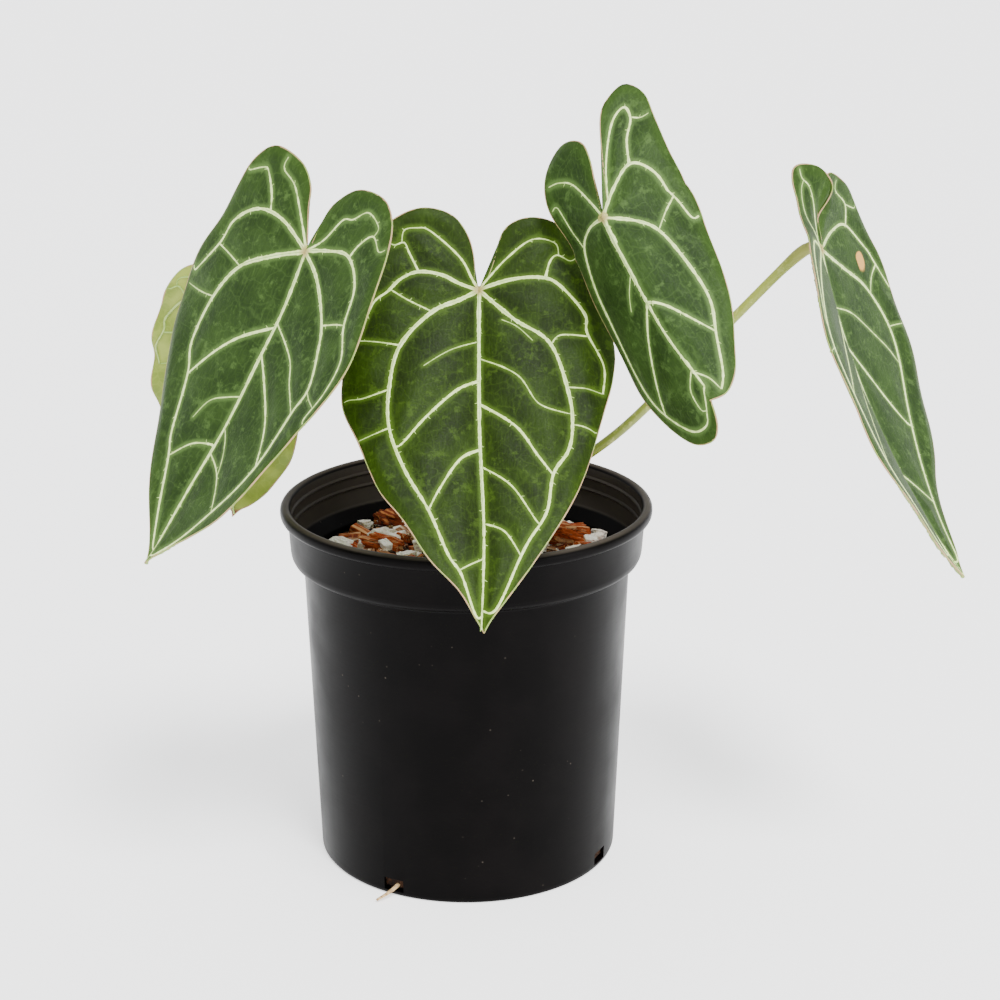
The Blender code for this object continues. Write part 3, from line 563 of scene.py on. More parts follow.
def reach_to(points, lines):
    """Distance of each flat point to the nearest of the lines, in millimetres."""
    best = np.full(len(points), 1e9)
    for line in lines:
        for a, b in zip(line[:-1], line[1:]):
            step = b - a
            t = np.clip(((points - a) @ step) / max(step @ step, 1e-9), 0.0, 1.0)
            gap = np.linalg.norm(points - (a + t[:, None] * step), axis=1)
            np.minimum(best, gap, out=best)
    return best


def across_of(line):
    """For each point of a flat line, the direction square to it."""
    step = np.gradient(line, axis=0)
    normal = np.stack([-step[:, 1], step[:, 0]], axis=1)
    return normal / (np.linalg.norm(normal, axis=1)[:, None] + 1e-9)


print("points on the front midrib:", len(smooth_line(FRONT_VEINS[0][2])))

# %% [markdown]
# ## Veins that reach each other
# On a leaf no vein ends in the middle of the blade: it meets the next vein or runs out into the
# margin. Each end could be placed exactly by hand. Instead a free end looks ahead a few
# millimetres and is carried on to what it finds there. Twigs, the thinnest veins, stay free.

# %% Joining the veins
TWIG = 0.65  # mm: a vein this thin may end free
SNAP = 1.8  # mm: an end this close to another vein moves onto it
LOOK_AHEAD = 7.0  # mm to look for another vein
LOOK_TO_MARGIN = 9.0  # mm to look for the margin


def joined(veins, margin):
    """The veins with their free ends carried on to the vein or the margin ahead of them."""
    lines = [spaced(smooth_line(route), 60) for _, _, route in veins]
    out = []
    for k, (start, end, route) in enumerate(veins):
        others = np.vstack([line for j, line in enumerate(lines) if j != k])
        route = [np.array(p, dtype=float) for p in route]
        for last in (0, -1) if start > TWIG else ():
            tip = route[last]
            out_of = tip - route[1 if last == 0 else -2]
            beside = np.linalg.norm(others - tip, axis=1)
            if beside.min() < SNAP:
                route[last] = others[beside.argmin()]
                continue
            # All the way to a vein, but only 0.7 of the way to the margin.
            for aims, reach, keep in ((others, LOOK_AHEAD, 1.0),
                                      (margin, LOOK_TO_MARGIN, 0.7)):
                step = aims - tip
                gap = np.linalg.norm(step, axis=1)
                ahead = step @ out_of > 0.35 * gap * np.linalg.norm(out_of)
                gap = np.where(ahead, gap, 1e9)
                if gap.min() < reach:
                    goal = tip + keep * step[gap.argmin()]
                    route = [goal] + route if last == 0 else route + [goal]
                    break
        out.append((start, end, route))
    return out


print("front veins joined:", len(joined(FRONT_VEINS, np.array([(0.0, 143.0)]))))

# %% [markdown]
# ## From points to a piece
# The leaves are worked out as arrays of points, so they are handed to Blender as a mesh in one go.
# The object stays at the origin, unturned and unscaled, and its place is in its points. A piece
# is then given to the frame: which body it rides and which plain CAD pieces it stands for.
# Numbers such as the distance to a vein are kept on the points as attributes.

# %% Helpers for pieces
WELD = 0.001  # mm: points closer than this are one point


def new_object(name, points, faces, materials, smooth=True, picks=None):
    """A mesh object from points in millimetres, smooth all over or face by face."""
    mesh = bpy.data.meshes.new(name)
    mesh.from_pydata([[c * MM for c in p] for p in points], [], faces)
    for material in materials:
        mesh.materials.append(material)
    flags = smooth if isinstance(smooth, list) else [smooth] * len(faces)
    mesh.polygons.foreach_set("use_smooth", flags)
    if picks is not None:
        mesh.polygons.foreach_set("material_index", picks)
    mesh.update()
    obj = bpy.data.objects.new(name, mesh)
    bpy.context.scene.collection.objects.link(obj)
    return obj


def give(obj, slot_name, *nodes):
    """Put a finished piece on the frame: its body and the nodes it stands for. The finish slot name
    is not used.
    """
    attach(obj, "root")
    if nodes:
        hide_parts(*nodes)


def attribute(obj, name, values):
    """One number per point, kept on the mesh for the shaders to read."""
    kept = obj.data.attributes.new(name, "FLOAT", "POINT")
    kept.data.foreach_set("value", np.asarray(values, dtype=np.float32))


def deselect():
    """Nothing selected, so an operator works only on what it has just made."""
    for obj in bpy.context.selected_objects:
        obj.select_set(False)


def weld(obj):
    """Points that lie together made one, which closes the seams and poles of a grid."""
    deselect()
    bpy.context.view_layer.objects.active = obj
    obj.select_set(True)
    bpy.ops.object.mode_set(mode="EDIT")
    bpy.ops.mesh.select_all(action="SELECT")
    bpy.ops.mesh.remove_doubles(threshold=WELD * MM)
    bpy.ops.object.mode_set(mode="OBJECT")


print("piece helpers:", new_object.__name__, give.__name__, attribute.__name__)

# %% [markdown]
# ## The sheet of a blade
# A blade is a grid: rows run from the midrib to the margin, and fan out round the stalk where the
# rear lobes are. Between the veins it swells by about a millimetre, which makes the real leaf
# look quilted, and its margin waves a little. A grid with real relief takes the light better than
# a flat sheet with painted shading.

# %% Rows and relief of a blade
ROWS_LOBE, ROWS_BODY, ACROSS = 56, 96, 30
THICK = 0.55  # mm
SWELL, SWELL_REACH = 1.15, 6.5  # mm high, and mm from a vein to get there
RUFFLE = (0.55, 7.0)  # mm high, and mm per radian along the margin
CROWD = 0.10  # how much the grid draws together towards the margin


def half_grid(leaf, sign):
    """Flat points of one half, row by row."""
    outline = leaf["left"] if sign < 0 else leaf["right"]
    line = smooth_line(list(outline) + [(0.0, leaf["spine"])])
    turn = next(i for i, p in enumerate(line) if i > len(line) // 5 and p[1] > 6.0)
    margin = np.vstack([spaced(line[:turn + 1], ROWS_LOBE),
                        spaced(line[turn:], ROWS_BODY + 1)[1:]])
    root = np.zeros_like(margin)
    root[:, 1] = leaf["spine"] * np.clip((np.arange(len(margin)) - ROWS_LOBE + 1) / ROWS_BODY,
                                         0.0, 1.0)
    t = np.linspace(0.0, 1.0, ACROSS + 1)
    t = (t + CROWD * np.sin(math.pi * t))[None, :, None]
    return root[:, None, :] + (margin - root)[:, None, :] * np.clip(t, 0, 1), margin


def surface_height(leaf, points, lines, edge):
    """How far the blade stands off its smooth sheet: swollen between veins, wavy at the rim."""
    gap = reach_to(points, lines)
    swell = SWELL * (1.0 - np.exp(-(gap / SWELL_REACH) ** 2)) * np.clip(edge / 4.0, 0.0, 1.0)
    ruffle, pitch = leaf.get("ruffle", RUFFLE)
    wave = ruffle * np.sin(points[:, 1] / pitch + np.sign(points[:, 0])) * np.exp(-edge / 6.0)
    return swell + wave


print("rows and columns of half a blade:", half_grid(LEAVES["front"], 1)[0].shape[:2])

# %% [markdown]
# ## The blade itself
# The two halves of the grid are laid out once on the upper face and once on the underside, half a
# millimetre apart, and a strip closes the rim, so the blade is a real sheet with a thickness. The
# halves share the points of the midrib, and all that lies together is welded, which leaves one
# closed skin. A Solidify modifier could add the thickness too, but it would move the face.

# %% Making a blade
MAIN_VEIN = 0.8  # mm: veins wider than this lift the blade and carry spurs


def blade_grid(leaf):
    """Flat points of both halves, the half of each, the faces and the rim of the sheet."""
    points, sides, faces, rim = [], [], [], []
    count = 2 * (ROWS_LOBE + ROWS_BODY) * (ACROSS + 1)
    for side, sign in ((0, -1), (1, 1)):
        grid = half_grid(leaf, sign)[0]
        rows, cols = grid.shape[:2]
        base = side * rows * cols
        points.append(grid.reshape(-1, 2))
        sides.append(np.full(rows * cols, side))
        index = base + np.arange(rows * cols).reshape(rows, cols)
        quads = np.stack([index[:-1, :-1], index[:-1, 1:], index[1:, 1:], index[1:, :-1]],
                         axis=-1).reshape(-1, 4)
        faces.append(quads if sign < 0 else quads[:, ::-1])
        border = list(range(base, base + cols - 1))
        border += [base + row * cols + cols - 1 for row in range(rows)]
        for u, v in zip(border[:-1], border[1:]):
            quad = (u, v, v + count, u + count)
            rim.append(quad if sign > 0 else quad[::-1])
    return np.vstack(points), np.concatenate(sides), np.vstack(faces), rim


def close_seam(sheet):
    """The two halves of a sheet made to meet along the midrib and at the tip."""
    halves = sheet.reshape(2, ROWS_LOBE + ROWS_BODY, ACROSS + 1, 3)
    halves[:, :, 0] = halves[:, :, 0].mean(axis=0)
    halves[:, -1] = halves[0, -1, 0]
    return sheet


def keep_marks(blade, leaf, flat):
    """How dry and how hurt each point of a blade is, from 0 to 1."""
    dry_at, dry_soft = leaf.get("dry", (1e4, 1.0))
    ragged = np.array([noise.noise(Vector((x / 5, y / 5, 0.0))) for x, y in flat])
    dry = np.clip((flat[:, 1] - dry_at + 5 * ragged) / dry_soft * 0.5 + 0.5, 0, 1)
    attribute(blade, "dry", np.concatenate([dry, dry]))
    hurt_x, hurt_y, hurt_reach = leaf.get("hurt", (1e4, 0.0, 1.0))
    away = np.hypot(flat[:, 0] - hurt_x, (flat[:, 1] - hurt_y) * 0.7)
    hurt = np.clip(1.4 - away / hurt_reach + 0.5 * ragged, 0, 1)
    attribute(blade, "hurt", np.concatenate([hurt, hurt]))


def make_blade(name, leaf, veins, wide, margins):
    """The sheet of one leaf, with what its shaders read kept on its points."""
    flat, side, faces, rim = blade_grid(leaf)
    edge = reach_to(flat, [m[::3] for m in margins])
    height = surface_height(leaf, flat, wide, edge)
    gap = np.min([reach_to(flat, [smooth_line(line)]) - (a + b) / 4 for a, b, line in veins],
                 axis=0)
    upper = close_seam(bent(leaf, flat, height + THICK / 2, side))
    lower = close_seam(bent(leaf, flat, height - THICK / 2, side))
    every = [tuple(f) for f in faces] + [tuple(f[::-1] + len(flat)) for f in faces] + rim
    picks = [0] * len(faces) + [1] * len(faces) + [0] * len(rim)
    blade = new_object(f"blade_{name}_visual", np.vstack([upper, lower]), every,
                       [leaf["face"], leaf["back"]], picks=picks)
    for key, values in (("flat_x", flat[:, 0]), ("flat_y", flat[:, 1]), ("vein", gap),
                        ("edge", edge)):
        attribute(blade, key, np.concatenate([values, values]))
    keep_marks(blade, leaf, flat)
    weld(blade)
    give(blade, "blade_back_yellow_green" if name == "back" else "blade_deep_green",
         f"blade_{name}")
    return blade


print("points in one blade sheet:", len(blade_grid(LEAVES["front"])[0]))

# %% [markdown]
# ## The cord along the margin
# The rim of the real leaf is thickened into a thin dry cord. A curve with a round bevel would give
# the same tube, but it has to follow the bent sheet exactly, so its rings of points go through
# the bending function one by one.

# %% Making the margin
CORD_RADIUS, CORD_SIDES, CORD_STEPS = 0.34, 6, 170  # mm, and the grid of the tube


def ring_tube(rings):
    """Points and faces of a closed tube through rings of points, each ring (sides, 3)."""
    count, sides = len(rings), rings[0].shape[0]
    faces = []
    for k in range(count - 1):
        for j in range(sides):
            n = (j + 1) % sides
            faces.append((k * sides + j, k * sides + n, (k + 1) * sides + n,
                          (k + 1) * sides + j))
    faces.append(tuple(reversed(range(sides))))
    faces.append(tuple(range((count - 1) * sides, count * sides)))
    return np.vstack(rings), faces


def make_margin(name, leaf, margins):
    """The thin pinkish cord that runs round the margin."""
    points, faces = [], []
    base = 0
    ruffle, pitch = leaf.get("ruffle", RUFFLE)
    for side, margin in enumerate(margins):
        line = spaced(margin, CORD_STEPS)
        wave = ruffle * np.sin(line[:, 1] / pitch + (-1, 1)[side])
        square = across_of(line)
        half = np.full(len(line), side)
        rings = []
        for a in np.arange(CORD_SIDES) * math.tau / CORD_SIDES:
            rings.append(bent(leaf, line + CORD_RADIUS * math.cos(a) * square,
                              wave - CORD_RADIUS * math.sin(a), half))
        tube, tube_faces = ring_tube(list(np.stack(rings, axis=1)))
        points.append(tube)
        faces += [tuple(i + base for i in face) for face in tube_faces]
        base += len(tube)
    cord = new_object(f"margin_{name}", np.vstack(points), faces, [MARGIN])
    give(cord, "blade_deep_green")


print("sides of the margin cord:", CORD_SIDES)

# %% [markdown]
# ## Veins in relief
# A vein is a low ridge, five points wide on top, swept along its route. Its width wanders a little,
# as on the real leaf, and short spurs stand off it like frost, but not near the margin. On the
# underside the ridge is higher and rounder. A sixth point inside the blade closes the ridge, and
# the hidden faces there are flat, so that they leave the shading of the top alone. Painted veins
# would be quicker, but they would catch no light.

# %% Making the veins
RIDGE_ACROSS = np.array([-1.0, -0.55, 0.0, 0.55, 1.0, 0.0])
RIDGE_UPPER = np.array([-0.12, 0.10, 0.16, 0.10, -0.12, -0.14])
RIDGE_UNDER = np.array([-0.15, 0.45, 0.75, 0.45, -0.15, -0.17])
RIDGE_TOP = 5  # how many of the points stand on the face
VEIN_STEP, VEIN_GAIN, VEIN_WANDER = 0.9, 1.12, 0.36
SPUR_CLEAR = 6.0  # mm from the margin within which no spur grows


def vein_spurs(rng, line, width, border):
    """Short side spurs of a vein: start, end and width of each."""
    spurs = []
    runs = np.r_[0.0, np.cumsum(np.linalg.norm(np.diff(line, axis=0), axis=1))]
    at = rng.uniform(2.0, 5.0)
    while at < runs[-1] - 2.0:
        here = np.array([np.interp(at, runs, line[:, k]) for k in range(2)])
        ahead = np.array([np.interp(at + 0.5, runs, line[:, k]) for k in range(2)])
        heading = math.atan2(*(ahead - here)[::-1]) + rng.choice((-1, 1)) * rng.uniform(0.8, 1.4)
        reach = rng.uniform(0.4, 1.3) + width * 0.5
        mid = here + 0.55 * reach * np.array([math.cos(heading), math.sin(heading)])
        heading += rng.uniform(-0.5, 0.5)
        end = mid + 0.45 * reach * np.array([math.cos(heading), math.sin(heading)])
        if np.linalg.norm(border - here, axis=1).min() > SPUR_CLEAR:
            spurs.append((0.3 * width + 0.25, 0.2, [here, mid, end]))
        at += rng.uniform(4.0, 12.0)
    return spurs


def vein_width(line, wide_at, wide_end, up):
    """Width along a vein, from its start to its end, wandering a little."""
    wobble = np.array([noise.noise(Vector((x * 0.9, y * 0.9, wide_at * 7.0)))
                       + 0.8 * noise.noise(Vector((x * 0.25, y * 0.25, wide_at * 5.0)))
                       for x, y in line])
    t = np.linspace(0.0, 1.0, len(line))
    width = VEIN_GAIN * (wide_at + (wide_end - wide_at) * t)
    return width * (1.0 + VEIN_WANDER * wobble) * (1.0 if up > 0 else 1.15)


def vein_rings(leaf, line, width, wide, border, up):
    """Points in space round the ridge of a vein, ring by ring, and the flat point of each."""
    out_to = RIDGE_ACROSS[None, :, None] * (width / 2)[:, None, None]
    flat = (line[:, None, :] + out_to * across_of(line)[:, None, :]).reshape(-1, 2)
    height = surface_height(leaf, flat, wide, reach_to(flat, border))
    proud = RIDGE_UPPER if up > 0 else RIDGE_UNDER
    proud = (proud[None, :] * np.clip(width, 0.35, 1.6)[:, None]).reshape(-1)
    # The midrib lies on both halves. Any other vein stays on the half of its own middle line.
    spread = np.repeat(line[:, 0], len(RIDGE_ACROSS))
    side = np.where((spread < 0) if abs(line[:, 0]).max() > 3 else (flat[:, 0] < 0), 0, 1)
    return bent(leaf, flat, height + up * (THICK / 2 + proud), side), flat


def ridge_faces(base, rings, up):
    """Faces of one closed ridge with a cap on each end, and which of them are smooth."""
    index = base + np.arange(rings * len(RIDGE_ACROSS)).reshape(rings, -1)
    around = np.hstack([index, index[:, :1]])
    quads = np.stack([around[:-1, :-1], around[1:, :-1], around[1:, 1:], around[:-1, 1:]],
                     axis=-1).reshape(-1, 4)
    faces = [tuple(quad) for quad in quads] + [tuple(index[0]), tuple(index[-1][::-1])]
    smooth = [column < RIDGE_TOP - 1 for column in range(len(RIDGE_ACROSS))] * (rings - 1)
    return [face if up < 0 else face[::-1] for face in faces], smooth + [False, False]


def make_veins(name, leaf, veins, wide, margins, up):
    """The raised veins of one face: up is 1 for the upper face and -1 for the underside."""
    rng = random.Random(name + str(up))
    border = [m[::3] for m in margins]
    routes = [(a, b, smooth_line(line)) for a, b, line in veins]
    if up > 0:
        for a, b, line in list(routes):
            if a > MAIN_VEIN:
                spurs = vein_spurs(rng, line, (a + b) / 2, np.vstack(border))
                routes += [(c, d, np.array(s)) for c, d, s in spurs]
    points, faces, smooth = [], [], []
    marks = {"across": [], "along": [], "width": [], "reach": []}
    start = 0
    for wide_at, wide_end, line in routes:
        length = np.linalg.norm(np.diff(line, axis=0), axis=1).sum()
        line = spaced(line, max(4, int(length / VEIN_STEP)))
        count = len(line)
        width = vein_width(line, wide_at, wide_end, up)
        ridge, flat = vein_rings(leaf, line, width, wide, border, up)
        points.append(ridge)
        new_faces, new_smooth = ridge_faces(start * len(RIDGE_ACROSS), count, up)
        faces += new_faces
        smooth += new_smooth
        # Each vein starts at another place of the colour pattern that runs along it.
        run = np.linspace(0.0, 1.0, count) * length + start * RIDGE_TOP
        marks["across"].append(np.tile(RIDGE_ACROSS, count))
        marks["along"].append(np.repeat(run, len(RIDGE_ACROSS)))
        marks["width"].append(np.repeat(width, len(RIDGE_ACROSS)))
        marks["reach"].append(np.linalg.norm(flat, axis=1))
        start += count
    ridges = new_object(f"veins_{name}_{'upper' if up > 0 else 'under'}", np.vstack(points),
                        faces, [VEIN_TOP if up > 0 else VEIN_UNDER], smooth)
    for key, values in marks.items():
        attribute(ridges, key, np.concatenate(values))
    give(ridges, "blade_deep_green")


print("points across a vein:", len(RIDGE_ACROSS))

# %% [markdown]
# ## All five leaves
# With the parts of a leaf as functions, the five leaves are a loop. Each gives a blade, a cord and
# two sets of veins.

# %% Building the leaves
for leaf_name, leaf in LEAVES.items():
    margins = [half_grid(leaf, -1)[1], half_grid(leaf, 1)[1]]
    veins = joined(leaf["veins"], np.vstack(margins))
    wide = [smooth_line(line) for a, b, line in veins if a > MAIN_VEIN]
    made = make_blade(leaf_name, leaf, veins, wide, margins)
    make_margin(leaf_name, leaf, margins)
    make_veins(leaf_name, leaf, veins, wide, margins, 1)
    make_veins(leaf_name, leaf, veins, wide, margins, -1)
    print(made.name, "faces:", len(made.data.polygons))

# %% [markdown]
# ## The skin of a stalk
# The stalk is smooth and alive: a satin olive green with fine pale specks, yellower towards the
# blade. Its colour follows `along`, a number kept on its points that runs from 0 at the stem to 1
# at the blade, because a stalk curves and no straight axis would follow it.

# %% Stalk material
STALK, tree, shader = start_material("leaf_stalk_smooth_olive_green", 0.42,
                                     Specular_IOR_Level=0.45)
run = read(tree, "along")
speck = add_node(tree, "ShaderNodeTexNoise", 0, Vector=object_coords(tree), Scale=420.0,
                 Detail=3.0)
color = mixed(tree, ramped(tree, run, 0.0, 1.0), linear("#6f7a2c"), linear("#98a044"))
color = mixed(tree, ramped(tree, speck, 0.52, 0.7, 0.0, 0.5), color, linear("#c2c276"))
color = mixed(tree, ramped(tree, run, 0.9, 0.97), color, linear("#a7a552"))
join_color(tree, shader, color, speck, 0.15, 0.0003)
print("stalk material:", STALK.name)

# %% [markdown]
# ## Stalks
# A stalk leaves the stem upright, leans out, and meets the blade with a thicker knee that turns
# the blade to the light. It is swept with its own radius at each step, because the knee and the
# slight flare at the foot are what make it look alive. A curve with a bevel would be quicker but
# equally thick everywhere, or need a second curve for its taper.

# %% Stalks
STEM_TOP = 149.0
STALK_RING = 5.4  # mm from the stem's middle to each stalk's foot
STALK_RADIUS, FOOT_FLARE, KNEE_SWELL = 1.95, 0.75, 0.55
STALK_STEPS, STALK_SIDES = 90, 14
# For each stalk: the way it leaves the stem, in degrees, and the points it passes.
STALK_WAY = {
    "front": (90.0, [(2.0, 8.0, 190.0), (4.0, 2.0, 235.0)]),
    "left": (234.0, [(-30.0, -6.0, 196.0), (-56.0, -24.0, 240.0)]),
    "right": (306.0, [(24.0, 3.0, 178.0), (54.0, -1.0, 216.0), (66.0, -16.0, 254.0)]),
    "far_right": (18.0, [(28.0, 1.0, 160.0), (62.0, -2.0, 183.0), (100.0, -6.0, 224.0)]),
    "back": (162.0, [(-27.0, 2.0, 196.0), (-50.0, -6.0, 209.0), (-76.0, -19.0, 220.0)]),
}


def sweep(line, radii, sides, dents):
    """A tube of changing radius along a line."""
    line = np.asarray(line, dtype=float)
    step = np.gradient(line, axis=0)
    step /= np.linalg.norm(step, axis=1)[:, None]
    side = np.cross(step[0], (0.0, 1.0, 0.2))
    rings = []
    for k in range(len(line)):
        side = side - step[k] * (side @ step[k])
        side /= np.linalg.norm(side)
        up = np.cross(step[k], side)
        a = np.arange(sides) * math.tau / sides
        r = radii[k] * (1.0 + dents * np.cos(3 * a + 0.06 * k))
        rings.append(line[k] + r[:, None] * (np.cos(a)[:, None] * side
                                             + np.sin(a)[:, None] * up))
    return ring_tube(rings)


for name, (angle, way) in STALK_WAY.items():
    leaf = LEAVES[name]
    a = math.radians(angle)
    foot = np.array([STALK_RING * math.cos(a), STALK_RING * math.sin(a), STEM_TOP - 3.0])
    _, across_leaf, face = leaf_axes(leaf["aim"])
    slant = math.radians(leaf["fold"][0] - leaf["fold"][1]) / 2
    face = math.cos(slant) * face + math.sin(slant) * across_leaf
    end = np.array(leaf["at"]) - 0.5 * face
    line = smooth_line([foot, foot + (0, 0, 9)] + way + [end - 9.0 * face, end], 14)
    line = spaced(line, STALK_STEPS)
    t = np.linspace(0.0, 1.0, len(line))
    # The knee sits about 6 mm before the blade, on a stalk taken as 150 mm long.
    to_blade = (1 - t) * 150.0
    knee = KNEE_SWELL * np.exp(-((to_blade - 6.0) / 6.5) ** 2)
    radii = STALK_RADIUS + FOOT_FLARE * np.exp(-t / 0.05) + knee
    points, faces = sweep(line, radii, STALK_SIDES, 0.03)
    stalk = new_object(f"stalk_{name}", points, faces, [STALK])
    attribute(stalk, "along", np.repeat(t, STALK_SIDES))
    give(stalk, "petiole_olive", f"petiole_{name}")
print("stalks:", len(STALK_WAY))

# %% [markdown]
# ## Stem, sheath and root colours
# The stem is old and corky with rings, the sheath is dry and papery with long fibres, and the
# roots are dry straw, all of them matt. Stretching a noise pattern along one axis makes rings or
# fibres out of the same pattern.

# %% Stem, sheath and root materials
STEM, tree, shader = start_material("stem_ringed_brown_green", 0.7)
bands = add_node(tree, "ShaderNodeTexNoise", 0, Vector=object_coords(tree, (90, 90, 420)),
                 Scale=1.0, Detail=5.0)
join_color(tree, shader, mixed(tree, ramped(tree, bands, 0.38, 0.66), linear("#5c5a26"),
                               linear("#7c5c38")), bands, 0.6, 0.001)
PAPER, tree, shader = start_material("sheath_papery_tan", 0.6)
fibre = add_node(tree, "ShaderNodeTexNoise", 0, Vector=object_coords(tree, (900, 900, 60)),
                 Scale=1.0, Detail=4.0)
join_color(tree, shader, mixed(tree, ramped(tree, fibre, 0.35, 0.7), linear("#b79a63"),
                               linear("#7f6a3a")), fibre, 0.4, 0.0005)
ROOT, tree, shader = start_material("root_dry_straw", 0.85)
mottle = add_node(tree, "ShaderNodeTexNoise", 0, Vector=object_coords(tree), Scale=700.0,
                  Detail=4.0)
join_color(tree, shader, mixed(tree, ramped(tree, mottle, 0.35, 0.7), linear("#c9ab7c"),
                               linear("#8d6c45")), mottle, 0.5, 0.0004)
print("stem materials:", STEM.name, PAPER.name, ROOT.name)

# %% [markdown]
# ## The stem and the sheath of the next leaf
# Hidden behind the front leaf stands a short stem with the scars of old leaves. The sheath of the
# next leaf rises between the stalks. One lump could stand for both, but separate tubes keep each
# surface simple and let each have its own colour.

# %% Stem and sheath
STEM_FOOT, STEM_RADIUS, SCAR_PITCH = 119.0, 8.6, 7.4
heights = np.linspace(STEM_FOOT, STEM_TOP, 46)
rings = STEM_RADIUS + 0.45 * np.sin((heights - STEM_FOOT) * math.tau / SCAR_PITCH) ** 8
# The top of the stem is rounded off.
rings[-4:] -= np.array([0.3, 0.8, 1.8, 3.4])
middle = np.stack([0.25 * np.sin(heights / 5), 0.2 * np.cos(heights / 7), heights], axis=1)
points, faces = sweep(middle, rings, 36, 0.02)
give(new_object("stem_ringed", points, faces, [STEM]), "stem_green_brown", "stem")
heights = np.linspace(148.0, 167.6, 24)
bud = 1.95 * np.sqrt(np.clip(1.0 - ((heights - 151.0) / 17.0).clip(0) ** 2, 0.01, 1.0))
points, faces = sweep(np.stack([0 * heights, 0 * heights, heights], axis=1), bud, 16, 0.04)
give(new_object("sheath_of_next_leaf", points, faces, [PAPER]), "petiole_olive",
     "new_leaf_sheath")
print("stem height:", STEM_TOP - STEM_FOOT, "mm")

# %% [markdown]
# ## Roots
# Thick roots leave the stem and dive into the mix, and one dry root end has found its way out of a
# drain slot. They are the same swept tube, thinner towards the end.

# %% Roots
# For each root: its heading in degrees and how far it reaches, in millimetres.
AERIAL_ROOTS = [(35, 17), (130, 15), (205, 18), (285, 16)]
for k, (heading, reach) in enumerate(AERIAL_ROOTS):
    a = math.radians(heading)
    out = np.array([math.cos(a), math.sin(a), 0.0])
    path = smooth_line([out * 7.5 + (0, 0, 140), out * 11.5 + (0, 0, 138),
                        out * (reach - 1.5) + (0, 0, 131), out * reach + (0, 0, 122)], 10)
    points, faces = sweep(path, np.linspace(1.7, 1.2, len(path)), 12, 0.05)
    give(new_object(f"aerial_root_{k}", points, faces, [ROOT]), "stem_green_brown")
SLOT_ANGLES = (-118.0, -28.0, 62.0, 152.0)
a = math.radians(SLOT_ANGLES[0])
turned = np.array([[math.cos(a), -math.sin(a), 0], [math.sin(a), math.cos(a), 0], [0, 0, 1]])
path = smooth_line([turned @ np.array(p) for p in
                    ((61.5, 1.2, 4.4), (66.0, 0.4, 3.4), (69.5, -1.0, 2.4),
                     (72.5, -3.0, 1.2))])
points, faces = sweep(path, np.linspace(0.95, 0.5, len(path)), 10, 0.08)
give(new_object("root_end_dry", points, faces, [ROOT]), "root_straw", "root_tip")
print("roots:", len(AERIAL_ROOTS) + 1)

# %% [markdown]
# ## The plastic of the pot
# The pot is black polypropylene, injection moulded: a satin skin with hardly any shine of its own,
# a few grains of dust, a grey top of the lip that is partly dust and partly a painted highlight,
# and a lighter grey-brown inside the collar. Faint lines from the mould run round it. The grey of
# the lip and the colour inside the collar are placed by height and by distance from the axis, both
# read from the pot's own coordinates.

# %% Pot material
PLASTIC, tree, shader = start_material("pot_black_polypropylene_satin", 0.36,
                                       Specular_IOR_Level=0.035)
here = object_coords(tree)
film = add_node(tree, "ShaderNodeTexNoise", 0, Vector=here, Scale=45.0, Detail=5.0)
mould = add_node(tree, "ShaderNodeTexNoise", 0, Vector=object_coords(tree, (60, 60, 900)),
                 Scale=1.0, Detail=2.0)
grains = add_node(tree, "ShaderNodeTexVoronoi", 0, Vector=here, Scale=210.0, Randomness=1.0)
pick = add_node(tree, "ShaderNodeTexNoise", 0, Vector=here, Scale=38.0, Detail=2.0)
dust = add_node(tree, "ShaderNodeMath", 0, {"operation": "MULTIPLY"},
                i0=ramped(tree, grains, 0.05, 0.10, 1.0, 0.0), i1=ramped(tree, pick, 0.56, 0.66))
color = mixed(tree, ramped(tree, film, 0.35, 0.75), linear("#040303"), linear("#080606"))
color = mixed(tree, dust, color, linear("#3f3a34"))
# The top of the lip is painted lighter, from its own height above the pot's foot: partly dust,
# partly a painted highlight.
height = add_node(tree, "ShaderNodeSeparateXYZ", 2, Vector=here)
color = mixed(tree, ramped(tree, height, 0.1528, 0.1539, 0.0, 0.7), color, linear("#4b443d"))
# The inside of the collar is painted a lighter grey-brown: nearer the axis than the outer face.
level = add_node(tree, "ShaderNodeVectorMath", 0, {"operation": "MULTIPLY"}, i0=here,
                 i1=(1.0, 1.0, 0.0))
radius = add_node(tree, "ShaderNodeVectorMath", 1, {"operation": "LENGTH"}, i0=level)
inside = add_node(tree, "ShaderNodeMath", 0, {"operation": "MULTIPLY"},
                  i0=ramped(tree, radius, 0.0731, 0.0734, 1.0, 0.0),
                  i1=ramped(tree, height, 0.1335, 0.1345, 0.0, 0.8))
color = mixed(tree, inside, color, linear("#3a3531"))
rough = add_node(tree, "ShaderNodeMath", 0, {"operation": "MULTIPLY_ADD"}, i0=dust, i1=0.4,
                 i2=ramped(tree, film, 0.3, 0.75, 0.30, 0.42))
join_color(tree, shader, color, mould, 0.05, 0.0004, rough)
print("pot material:", PLASTIC.name)

# %% [markdown]
# ## The pot
# The pot is one thin wall turned round its axis. The profile is drawn as a chain of edges at +X,
# up the outside, over the lip and down the inside, and the Screw modifier turns it. It could be
# built from cylinders, but a profile keeps every rim and ridge editable.

